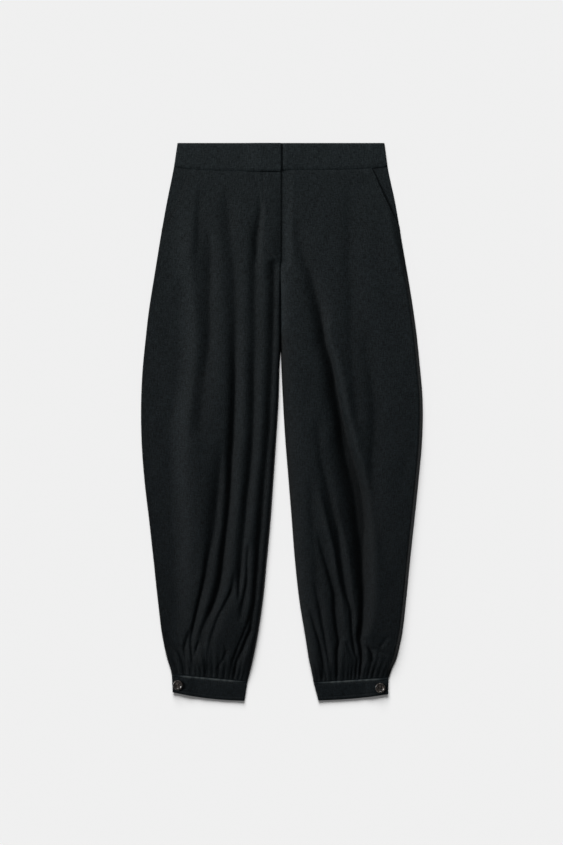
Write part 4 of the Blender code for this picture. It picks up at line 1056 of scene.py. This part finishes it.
# Stitches: their sizes, then how far along, how thick and how high each ring of one stands, as shares of its
# length, of its radius and in millimetres
STITCH_SPACING = 3.4
STITCH_LENGTH = 2.5
STITCH_RADIUS = 0.28
STITCH_SINK = 0.05
STITCH_SIDES = 6
STITCH_STATIONS = np.array((-0.5, -0.36, 0.0, 0.36, 0.5))
STITCH_SWELL = np.array((0.15, 0.85, 1.0, 0.85, 0.15))
STITCH_RISE = np.array((-0.28, 0.0, 0.12, 0.0, -0.28))


def even_points(path, spacing):
    """Points at even lengths along a path, and its unit direction at each."""
    path = np.asarray(path, dtype=float)
    length = np.concatenate(([0.0], np.cumsum(np.linalg.norm(np.diff(path, axis=0), axis=1))))
    places = np.arange(spacing / 2, length[-1], spacing)
    points = np.stack([np.interp(places, length, path[:, axis]) for axis in range(3)], axis=1)
    ahead = np.stack([np.interp(places + spacing / 3, length, path[:, axis]) for axis in range(3)], axis=1)
    before = np.stack([np.interp(places - spacing / 3, length, path[:, axis]) for axis in range(3)], axis=1)
    direction = ahead - before
    return points, direction / np.linalg.norm(direction, axis=1, keepdims=True)


def stitches(name, paths):
    """Rows of stitches: one small closed spindle per stitch, low at its ends and high in its middle."""
    found = [even_points(path, STITCH_SPACING) for path in paths]
    centres = np.concatenate([points for points, _ in found])
    direction = np.concatenate([one for _, one in found])
    side = np.cross(direction, UPWARDS)
    side /= np.linalg.norm(side, axis=1, keepdims=True)
    up = np.cross(side, direction)
    angles = 2 * np.pi * np.arange(STITCH_SIDES) / STITCH_SIDES
    radius = STITCH_SWELL[:, None] * STITCH_RADIUS
    beside = radius * np.cos(angles)[None, :]
    above = radius * np.sin(angles)[None, :] + STITCH_RISE[:, None] - STITCH_SINK
    along = STITCH_STATIONS * STITCH_LENGTH
    points = centres[:, None, None] + direction[:, None, None] * along[None, :, None, None]
    points = points + side[:, None, None] * beside[None, :, :, None]
    points = points + up[:, None, None] * above[None, :, :, None]
    quads, ends = ring_faces(len(STITCH_STATIONS), STITCH_SIDES)
    shift = len(STITCH_STATIONS) * STITCH_SIDES * np.arange(len(centres))
    quads = (quads[None] + shift[:, None, None]).reshape(-1, 4)
    ends = (ends[:, None] + shift[None, :, None]).reshape(-1, STITCH_SIDES)
    return new_object(name, points, quads.tolist() + ends.tolist())


NEAREST_POINTS = 4
NEAREST_SOFTNESS = 0.01


def on_surface(surface, across, down, leg):
    """Points on a grid at given places: the heights of its four nearest points, weighted by nearness."""
    x = WEARER_SIDE[leg] * np.asarray(across, dtype=float)
    y = TOP - np.asarray(down, dtype=float)
    flat = surface.reshape(-1, 3).astype(np.float32)
    away = (flat[None, :, 0] - x[:, None]) ** 2 + (flat[None, :, 1] - y[:, None]) ** 2
    near = np.argpartition(away, NEAREST_POINTS, axis=1)[:, :NEAREST_POINTS]
    weight = 1 / (np.take_along_axis(away, near, axis=1) + NEAREST_SOFTNESS)
    heights = (flat[near, 2] * weight).sum(axis=1) / weight.sum(axis=1)
    return np.stack((x, y, heights), axis=1)


# The button's turned profile, from the middle of its base round its rim to its dished middle:
# share of the radius, height
BUTTON_PROFILE = np.array((
    (0.0, 0.0), (0.4, 0.0), (0.72, 0.0), (0.88, 0.35), (0.97, 1.0), (1.0, 1.9), (0.97, 2.7), (0.91, 3.2),
    (0.84, 3.4), (0.77, 3.32), (0.7, 3.0), (0.62, 2.55), (0.52, 2.3), (0.3, 2.2), (0.0, 2.2),
))
BUTTON_ANGLES = 112
BUTTON_OUTER_RINGS = 52
BUTTON_DISH_RINGS = 44
BUTTON_START = 0.3
BUTTON_WELLS_START = 9.0
BUTTON_DISH_START = 11.0
BUTTON_END = 13.93
BUTTON_LEAST_RADIUS = 0.002
BUTTON_HOLE_SPACING = 4.2
BUTTON_HOLE_DEPTH = 1.7
BUTTON_HOLE_TOP = 1.18
BUTTON_HOLE_FOOT = 0.82
BUTTON_THREAD_POINTS = 15
BUTTON_THREAD_HEIGHT = 2.35
BUTTON_THREAD_DROP = 24.0
BUTTON_THREAD_RADIUS = 0.42
BUTTON_THREAD_FLATNESS = 0.7


def button_height(leg, x_share, y_share, height):
    """The turned height less two wells, each a smooth step down round its own middle."""
    turn = np.array(BUTTON_TURN[leg])
    for side in (-0.5, 0.5):
        middle = side * BUTTON_HOLE_SPACING * turn / BUTTON_RADIUS
        away = np.hypot(x_share - middle[0], y_share - middle[1]) * BUTTON_RADIUS
        well = 1 - smooth_step(BUTTON_HOLE_FOOT, BUTTON_HOLE_TOP, away)
        height = height - BUTTON_HOLE_DEPTH * well
    return height


def make_button(leg):
    """A turned disc: the profile's smooth curve carried round the middle, with two wells in its dish."""
    across, down = BUTTON_PLACES[leg]
    knots = np.arange(len(BUTTON_PROFILE), dtype=float)
    outer_part = np.linspace(BUTTON_START, BUTTON_DISH_START, BUTTON_OUTER_RINGS)
    dish = np.linspace(BUTTON_DISH_START, BUTTON_END, BUTTON_DISH_RINGS + 1)[1:]
    at = np.concatenate((outer_part, dish))
    radius = np.maximum(smooth_table(knots, BUTTON_PROFILE[:, 0], at), BUTTON_LEAST_RADIUS)
    height = np.maximum(smooth_table(knots, BUTTON_PROFILE[:, 1], at), 0.0)
    angles = 2 * np.pi * np.arange(BUTTON_ANGLES) / BUTTON_ANGLES
    x_share = radius[:, None] * np.cos(angles)[None, :]
    y_share = radius[:, None] * np.sin(angles)[None, :]
    height = height[:, None]
    on_top = (at > BUTTON_WELLS_START)[:, None]
    height = np.where(on_top, button_height(leg, x_share, y_share, height), height)
    points = np.stack((
        WEARER_SIDE[leg] * across + x_share * BUTTON_RADIUS,
        TOP - down + y_share * BUTTON_RADIUS,
        CUFF_LAP_TOP + SEAM + height,
    ), axis=-1)
    quads, ends = ring_faces(len(at), BUTTON_ANGLES)
    return new_object("horn_button_" + leg, points, quads.tolist() + ends.tolist())


def make_button_thread(leg):
    """The sewing thread: a low arch from one hole of the button to the other."""
    across, down = BUTTON_PLACES[leg]
    turn = np.array(BUTTON_TURN[leg])
    share = np.linspace(-0.5, 0.5, BUTTON_THREAD_POINTS)
    x = WEARER_SIDE[leg] * across + share * BUTTON_HOLE_SPACING * turn[0]
    y = TOP - down + share * BUTTON_HOLE_SPACING * turn[1]
    z = CUFF_LAP_TOP + SEAM + BUTTON_THREAD_HEIGHT - BUTTON_THREAD_DROP * share ** 4
    path = np.stack((x, y, z), axis=1)
    return thread_tube("button_thread_" + leg, path, BUTTON_THREAD_RADIUS, BUTTON_THREAD_FLATNESS)


def add_node(tree, kind, **inputs):
    """A shader node with its settings and its unlinked inputs."""
    node = tree.nodes.new(kind)
    for name, value in inputs.items():
        if name in node.inputs:
            node.inputs[name].default_value = value
        else:
            setattr(node, name, value)
    return node


def math(tree, operation, first, second=None):
    """A math node on sockets or numbers."""
    node = tree.nodes.new("ShaderNodeMath")
    node.operation = operation
    for number, value in enumerate((first, second)):
        if value is None:
            continue
        if isinstance(value, (int, float)):
            node.inputs[number].default_value = value
        else:
            tree.links.new(value, node.inputs[number])
    return node.outputs[0]


def noise(tree, vector, scale, detail, roughness):
    """A noise value around 0.5, on a vector whose lengths are multiplied by the three scales."""
    mapping = add_node(tree, "ShaderNodeMapping")
    mapping.inputs["Scale"].default_value = scale
    tree.links.new(vector, mapping.inputs["Vector"])
    node = add_node(tree, "ShaderNodeTexNoise", Scale=1.0, Detail=detail, Roughness=roughness)
    tree.links.new(mapping.outputs[0], node.inputs["Vector"])
    return node.outputs["Fac"]


def ranged(tree, value, low, high, to_low, to_high):
    """A value taken from one range to another, held at its ends."""
    node = tree.nodes.new("ShaderNodeMapRange")
    tree.links.new(value, node.inputs["Value"])
    for name, number in (("From Min", low), ("From Max", high), ("To Min", to_low), ("To Max", to_high)):
        node.inputs[name].default_value = number
    return node.outputs["Result"]


def new_material(name):
    """A material, its node tree and its shader."""
    material = bpy.data.materials.new(name)
    material.use_nodes = True
    return material, material.node_tree, material.node_tree.nodes["Principled BSDF"]


# The sockets of a colour mix: its share, its two colours and its result
MIX_SHARE = 0
MIX_COLOURS = (6, 7)
MIX_RESULT = 2


def mixed(tree, share, *colours):
    """A colour between two colours or sockets: the first at share 0, the second at 1."""
    node = add_node(tree, "ShaderNodeMix", data_type="RGBA")
    tree.links.new(share, node.inputs[MIX_SHARE])
    for number, colour in zip(MIX_COLOURS, colours):
        if isinstance(colour, tuple):
            node.inputs[number].default_value = colour
        else:
            tree.links.new(colour, node.inputs[number])
    return node.outputs[MIX_RESULT]


def bumped(tree, height, strength, distance, normal=None):
    """A normal tipped by the slope of a height, on top of another normal where one is given."""
    node = add_node(tree, "ShaderNodeBump", Strength=strength, Distance=distance)
    tree.links.new(height, node.inputs["Height"])
    if normal is not None:
        tree.links.new(normal, node.inputs["Normal"])
    return node.outputs[0]


# Linen colours, and how they change from the waist to the cuffs: a painted light falloff, lighter at the
# waist and darker at the cuffs, and a tint
LINEN_DARK = (0.0018, 0.0031, 0.0038, 1.0)
LINEN_LIGHT = (0.0138, 0.0190, 0.0220, 1.0)
WAIST_PAINTED_LIGHT = 1.26
CUFF_END_PAINTED_SHADE = 0.42
WAIST_TINT = (1.03, 1.03, 0.98, 1.0)
CUFF_TINT = (0.82, 0.95, 1.02, 1.0)
# Pale grey of the painted highlight on the cuff bead, and the stored tones over which it comes in
BEAD_HIGHLIGHT_COLOUR = (0.058, 0.066, 0.066, 1.0)
BEAD_HIGHLIGHT_RANGE = (1.7, 5.0, 0.0, 1.0)

# Linen threads, in metres, and their noises: waves a metre, detail and roughness
THREAD_PITCH = 0.00095
WEFT_CLOSENESS = 0.93
WARP_WANDER = 9.0
WEFT_WANDER = -7.0
WANDER = ((90.0, 90.0, 1.0), 2.0, 0.5)
WARP_SLUBS = ((470.0, 100.0, 1.0), 2.0, 0.6)
WEFT_SLUBS = ((110.0, 500.0, 1.0), 2.0, 0.6)
SPECKS = ((420.0, 390.0, 1.0), 1.0, 0.6)
MOTTLE = ((34.0, 26.0, 34.0), 3.0, 0.55)
CRUMPLE = ((60.0, 44.0, 60.0), 3.0, 0.6)

# What each linen noise comes to: its low and high, then the values they stand for
WARP_SLUB_RANGE = (0.28, 0.72, -0.5, 0.5)
WEFT_SLUB_RANGE = (0.28, 0.72, -0.42, 0.42)
SPECK_RANGE = (0.25, 0.75, -0.4, 0.4)
MOTTLE_RANGE = (0.3, 0.7, -0.06, 0.06)
LINEN_ROUGHNESS = (-1.0, 1.0, 0.66, 0.52)
SLUB_TONE = 0.62
MIDDLE_TONE = 0.40
WEAVE_TONE = 0.08
WEAVE_HEIGHT = 0.35
CRUMPLE_BUMP = (0.22, 0.0025)
WEAVE_BUMP = (0.6, 0.0004)
LINEN_SHINE = 0.1


def threads(tree, length, pitch, wander, sway):
    """One set of threads: a sine of a length across them, bent by a wandering noise."""
    turns = math(tree, "MULTIPLY", length, 2 * np.pi / pitch)
    return math(tree, "SINE", math(tree, "ADD", turns, math(tree, "MULTIPLY", wander, sway)))


def linen_material():
    """Near-black linen in plain weave: slubby threads and uneven dye, with a painted light falloff from the
    waist to the cuffs and the painted shade, painted light and painted highlight stored at its points.
    """
    material, tree, shader = new_material("dark_linen")
    grain = add_node(tree, "ShaderNodeUVMap", uv_map="grain").outputs["UV"]
    place = add_node(tree, "ShaderNodeTexCoord").outputs["Object"]
    wander = noise(tree, grain, *WANDER)
    parts = add_node(tree, "ShaderNodeSeparateXYZ")
    tree.links.new(grain, parts.inputs[0])
    warp = threads(tree, parts.outputs["X"], THREAD_PITCH, wander, WARP_WANDER)
    weft = threads(tree, parts.outputs["Y"], THREAD_PITCH / WEFT_CLOSENESS, wander, WEFT_WANDER)
    weave = math(tree, "MULTIPLY", warp, weft)
    slubs = ranged(tree, noise(tree, grain, *WARP_SLUBS), *WARP_SLUB_RANGE)
    slubs = math(tree, "ADD", slubs, ranged(tree, noise(tree, grain, *WEFT_SLUBS), *WEFT_SLUB_RANGE))
    slubs = math(tree, "ADD", slubs, ranged(tree, noise(tree, grain, *SPECKS), *SPECK_RANGE))
    tone = math(tree, "ADD", math(tree, "MULTIPLY", slubs, SLUB_TONE), MIDDLE_TONE)
    tone = math(tree, "ADD", tone, ranged(tree, noise(tree, place, *MOTTLE), *MOTTLE_RANGE))
    tone = math(tree, "ADD", tone, math(tree, "MULTIPLY", weave, WEAVE_TONE))
    colour = mixed(tree, tone, LINEN_DARK, LINEN_LIGHT)
    where = add_node(tree, "ShaderNodeSeparateXYZ")
    tree.links.new(place, where.inputs[0])
    # Painted light falloff: the colour is lighter towards the waist and darker towards the cuffs
    painted_falloff = ranged(tree, where.outputs["Y"], -TOP * MM, TOP * MM, CUFF_END_PAINTED_SHADE, WAIST_PAINTED_LIGHT)
    # The stored tone: painted shade in hollows and at edges, painted light on the waistband, painted
    # highlight on the cuff bead
    painted_tone = add_node(tree, "ShaderNodeAttribute", attribute_name="tone").outputs["Fac"]
    painted_light_and_shade = add_node(tree, "ShaderNodeVectorMath", operation="SCALE")
    tree.links.new(colour, painted_light_and_shade.inputs[0])
    tree.links.new(math(tree, "MULTIPLY", painted_falloff, painted_tone), painted_light_and_shade.inputs["Scale"])
    to_waist = ranged(tree, where.outputs["Y"], -TOP * MM, TOP * MM, 0.0, 1.0)
    tinted = add_node(tree, "ShaderNodeVectorMath", operation="MULTIPLY")
    tree.links.new(painted_light_and_shade.outputs[0], tinted.inputs[0])
    tree.links.new(mixed(tree, to_waist, CUFF_TINT, WAIST_TINT), tinted.inputs[1])
    # Painted highlight: the colour turns pale grey where the stored tone runs high, on the cuff bead
    colour = mixed(tree, ranged(tree, painted_tone, *BEAD_HIGHLIGHT_RANGE), tinted.outputs[0], BEAD_HIGHLIGHT_COLOUR)
    tree.links.new(colour, shader.inputs["Base Color"])
    tree.links.new(ranged(tree, slubs, *LINEN_ROUGHNESS), shader.inputs["Roughness"])
    shader.inputs["Specular IOR Level"].default_value = LINEN_SHINE
    crumpled = bumped(tree, noise(tree, place, *CRUMPLE), *CRUMPLE_BUMP)
    relief = math(tree, "ADD", math(tree, "MULTIPLY", weave, WEAVE_HEIGHT), slubs)
    tree.links.new(bumped(tree, relief, *WEAVE_BUMP, crumpled), shader.inputs["Normal"])
    return material


THREAD_TWIST = ((2600.0, 2600.0, 900.0), 1.0, 0.5)
THREAD_DARK = (0.004, 0.005, 0.006, 1.0)
THREAD_LIGHT = (0.014, 0.016, 0.018, 1.0)
THREAD_ROUGHNESS = 0.6
THREAD_SHINE = 0.3
THREAD_BUMP = (0.5, 0.0002)


def thread_material():
    """Near-black sewing thread with a slight shine and a twist in its surface."""
    material, tree, shader = new_material("black_thread")
    place = add_node(tree, "ShaderNodeTexCoord").outputs["Object"]
    twist = noise(tree, place, *THREAD_TWIST)
    tree.links.new(mixed(tree, twist, THREAD_DARK, THREAD_LIGHT), shader.inputs["Base Color"])
    shader.inputs["Roughness"].default_value = THREAD_ROUGHNESS
    shader.inputs["Specular IOR Level"].default_value = THREAD_SHINE
    tree.links.new(bumped(tree, twist, *THREAD_BUMP), shader.inputs["Normal"])
    return material


HORN_STREAKS = ((420.0, 160.0, 300.0), 4.0, 0.6)
HORN_DARK = (0.009, 0.008, 0.008, 1.0)
HORN_LIGHT = (0.085, 0.070, 0.060, 1.0)
HORN_STREAK_RANGE = (0.42, 0.7, 0.0, 1.0)
HORN_ROUGHNESS = (0.3, 0.7, 0.2, 0.36)
HORN_SHINE = 0.5
HORN_BUMP = (0.25, 0.0002)


def horn_material():
    """Dark polished horn: brown-grey streaks in near black, with a gloss that is dulled in places."""
    material, tree, shader = new_material("dark_horn")
    place = add_node(tree, "ShaderNodeTexCoord").outputs["Object"]
    streaks = noise(tree, place, *HORN_STREAKS)
    share = ranged(tree, streaks, *HORN_STREAK_RANGE)
    tree.links.new(mixed(tree, share, HORN_DARK, HORN_LIGHT), shader.inputs["Base Color"])
    tree.links.new(ranged(tree, streaks, *HORN_ROUGHNESS), shader.inputs["Roughness"])
    shader.inputs["Specular IOR Level"].default_value = HORN_SHINE
    tree.links.new(bumped(tree, streaks, *HORN_BUMP), shader.inputs["Normal"])
    return material


LINEN = linen_material()
THREAD = thread_material()
HORN = horn_material()


def dress(piece, material, slot, *nodes):
    """Give a piece its material, make it ride on the one body and stand for its solids. The slot is not
    used.
    """
    piece.data.materials.append(material)
    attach(piece, "root")
    if nodes:
        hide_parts(*nodes)
    return piece


POCKET_STITCH_INSET = 6.0
POCKET_STITCH_SPAN = (56.0, 144.0)
POCKET_STITCH_POINTS = 60
CUFF_STITCH_SHARES = (0.02, 0.975)
CUFF_STITCH_POINTS = 80


def pocket_stitch_path(leg):
    """A line a fixed distance inside the pocket mouth, on the front cloth."""
    down = np.linspace(*POCKET_STITCH_SPAN, POCKET_STITCH_POINTS)
    return on_surface(surfaces["front_" + leg], pocket_line(down) - POCKET_STITCH_INSET, down, leg)


def cuff_stitch_paths(leg):
    """Two lines on the front of a cuff, a fixed distance from its upper and lower edges."""
    share = np.linspace(*CUFF_STITCH_SHARES, CUFF_STITCH_POINTS)
    upper = cuff_point(leg, share, np.zeros_like(share))[1]
    lower = cuff_point(leg, share, np.ones_like(share))[1]
    front = surfaces["cuff_" + leg][:, :CUFF_FRONT_STEPS + 1]
    paths = []
    for down in (upper + CUFF_STITCH_PLACE, lower - CUFF_STITCH_PLACE):
        across = cuff_point(leg, share, (down - upper) / (lower - upper))[0]
        paths.append(on_surface(front, across, down, leg))
    return paths


BAND_RIM_STEPS = 4
CUFF_RIM_STEPS = 4

surfaces = {}
for leg in ("r", "l"):
    side = int(WEARER_SIDE[leg])
    # The front cloth's tone is its painted shade
    surfaces["front_" + leg], front_painted_shade = front_surface(leg)
    surfaces["back_" + leg] = back_surface(leg)
    surfaces["pocket_" + leg] = pocket_surface(leg)
    surfaces["band_" + leg] = band_front_surface(leg)
    # The waistband's tone is painted lighter, a painted light
    band_painted_light = np.full(surfaces["band_" + leg].shape[:2], BAND_PAINTED_LIGHT)
    # The cuff's tone carries a painted highlight along its bead
    surfaces["cuff_" + leg], cuff_tone_and_highlight = cuff_surface(leg)
    dress(
        cloth_shell("front_cloth_" + leg, surfaces["front_" + leg], -side, CLOTH, front_painted_shade),
        LINEN, "cloth", "front_panel_" + leg)
    dress(
        cloth_shell("back_cloth_" + leg, surfaces["back_" + leg], side, CLOTH),
        LINEN, "cloth", "back_panel_" + leg)
    dress(
        cloth_shell("pocket_cloth_" + leg, surfaces["pocket_" + leg], -side, CLOTH),
        LINEN, "cloth", "pocket_side_" + leg)
    dress(
        cloth_shell("waistband_cloth_" + leg, surfaces["band_" + leg], -side, BAND_CLOTH, band_painted_light,
                    BAND_RIM_STEPS),
        LINEN, "cloth", "waistband_front_" + leg)
    dress(
        cloth_shell("cuff_cloth_" + leg, surfaces["cuff_" + leg], side, CUFF_CLOTH, cuff_tone_and_highlight,
                    CUFF_RIM_STEPS),
        LINEN, "cloth", "cuff_" + leg)
    dress(make_button(leg), HORN, "button", "button_" + leg)
    dress(make_button_thread(leg), THREAD, "button")
surfaces["band_back"] = band_back_surface()
# The back waistband's tone is painted lighter too, a painted light
back_band_painted_light = np.full(surfaces["band_back"].shape[:2], BAND_PAINTED_LIGHT)
dress(
    cloth_shell("waistband_back_cloth", surfaces["band_back"], 1, BAND_CLOTH, back_band_painted_light, BAND_RIM_STEPS),
    LINEN, "cloth", "waistband_back")

for leg in ("r", "l"):
    dress(stitches("pocket_stitches_" + leg, [pocket_stitch_path(leg)]), THREAD, "cloth")
    dress(stitches("cuff_stitches_" + leg, cuff_stitch_paths(leg)), THREAD, "cloth")
dress(stitches("fly_stitches", [on_surface(surfaces["front_r"], *fly_stitch_path(), "r")]), THREAD, "cloth")

# Floor, light and camera
FLOOR_SIZE = 40.0
FLOOR_DROP = 0.0004
CAMERA_HEIGHT = 3.2
VIEW_WIDTH = 1.0218
VIEW_HEIGHT = 1.5337
CLOTH_LEVEL = 0.006
VIEW_CENTRE = (-0.0005, -0.0011)
SKY_LIGHT = 0.10
KEY_LIGHT = 3.8
WAIST_LIGHT = 0.9
FLOOR_LIGHT = 5.0
FLOOR_GLOW = 0.08
FLOOR_COLOUR = (0.88, 0.88, 0.88, 1.0)
FLOOR_ROUGHNESS = 0.9
WHITE = (1.0, 1.0, 1.0, 1.0)
KEY_FROM = (-0.90, 0.30, 0.50)
KEY_ANGLE = 18.0
WAIST_FROM = (0.05, 0.9, 0.55)
WAIST_ANGLE = 20.0
FLOOR_FROM = (-0.14, 0.94, 0.55)
FLOOR_ANGLE = 36.0
SENSOR_HEIGHT = 24.0


def make_floor():
    """A plain pale floor: one wide flat sheet just under the cloth."""
    half = FLOOR_SIZE / 2
    corners = [(-half, -half, -FLOOR_DROP), (half, -half, -FLOOR_DROP),
               (half, half, -FLOOR_DROP), (-half, half, -FLOOR_DROP)]
    mesh = bpy.data.meshes.new("floor")
    mesh.from_pydata(corners, [], [(0, 1, 2, 3)])
    floor = bpy.data.objects.new("floor", mesh)
    bpy.context.scene.collection.objects.link(floor)
    material, _, shader = new_material("pale_floor")
    shader.inputs["Base Color"].default_value = FLOOR_COLOUR
    shader.inputs["Roughness"].default_value = FLOOR_ROUGHNESS
    shader.inputs["Specular IOR Level"].default_value = 0.0
    shader.inputs["Emission Color"].default_value = WHITE
    shader.inputs["Emission Strength"].default_value = FLOOR_GLOW
    mesh.materials.append(material)
    return floor


def make_sun(name, towards, energy, angle, receivers):
    """A soft distant light that shines from a direction on the things in one collection."""
    lamp = bpy.data.lights.new(name, "SUN")
    lamp.energy = energy
    lamp.angle = np.radians(angle)
    item = bpy.data.objects.new(name, lamp)
    direction = np.array(towards, dtype=float)
    direction /= np.linalg.norm(direction)
    tilt = np.arccos(direction[2])
    turn = np.arctan2(direction[0], -direction[1])
    item.rotation_euler = (tilt, 0.0, turn)
    item.light_linking.receiver_collection = receivers
    bpy.context.scene.collection.objects.link(item)


def make_lights(floor):
    """Even white surroundings, two large soft lights on the garment and one on the floor."""
    garment_group = bpy.data.collections.new("garment_receivers")
    floor_group = bpy.data.collections.new("floor_receivers")
    floor_group.objects.link(floor)
    for item in bpy.context.scene.collection.all_objects:
        if item.type == "MESH" and item != floor:
            garment_group.objects.link(item)
    world = bpy.data.worlds.new("studio")
    bpy.context.scene.world = world
    world.use_nodes = True
    tree = world.node_tree
    background = tree.nodes["Background"]
    background.inputs["Color"].default_value = WHITE
    background.inputs["Strength"].default_value = SKY_LIGHT
    make_sun("key_light", KEY_FROM, KEY_LIGHT, KEY_ANGLE, garment_group)
    make_sun("waist_light", WAIST_FROM, WAIST_LIGHT, WAIST_ANGLE, garment_group)
    make_sun("floor_light", FLOOR_FROM, FLOOR_LIGHT, FLOOR_ANGLE, floor_group)


def make_camera():
    """A camera straight above the garment, with the waist at the top of the picture."""
    lens = bpy.data.cameras.new("camera")
    lens.sensor_fit = "VERTICAL"
    lens.sensor_height = SENSOR_HEIGHT
    lens.sensor_width = SENSOR_HEIGHT * VIEW_WIDTH / VIEW_HEIGHT
    lens.lens = lens.sensor_height * (CAMERA_HEIGHT - CLOTH_LEVEL) / VIEW_HEIGHT
    camera = bpy.data.objects.new("camera", lens)
    camera.location = (*VIEW_CENTRE, CAMERA_HEIGHT)
    bpy.context.scene.collection.objects.link(camera)
    bpy.context.scene.camera = camera


make_lights(make_floor())
make_camera()
bpy.context.scene.view_settings.view_transform = "Standard"
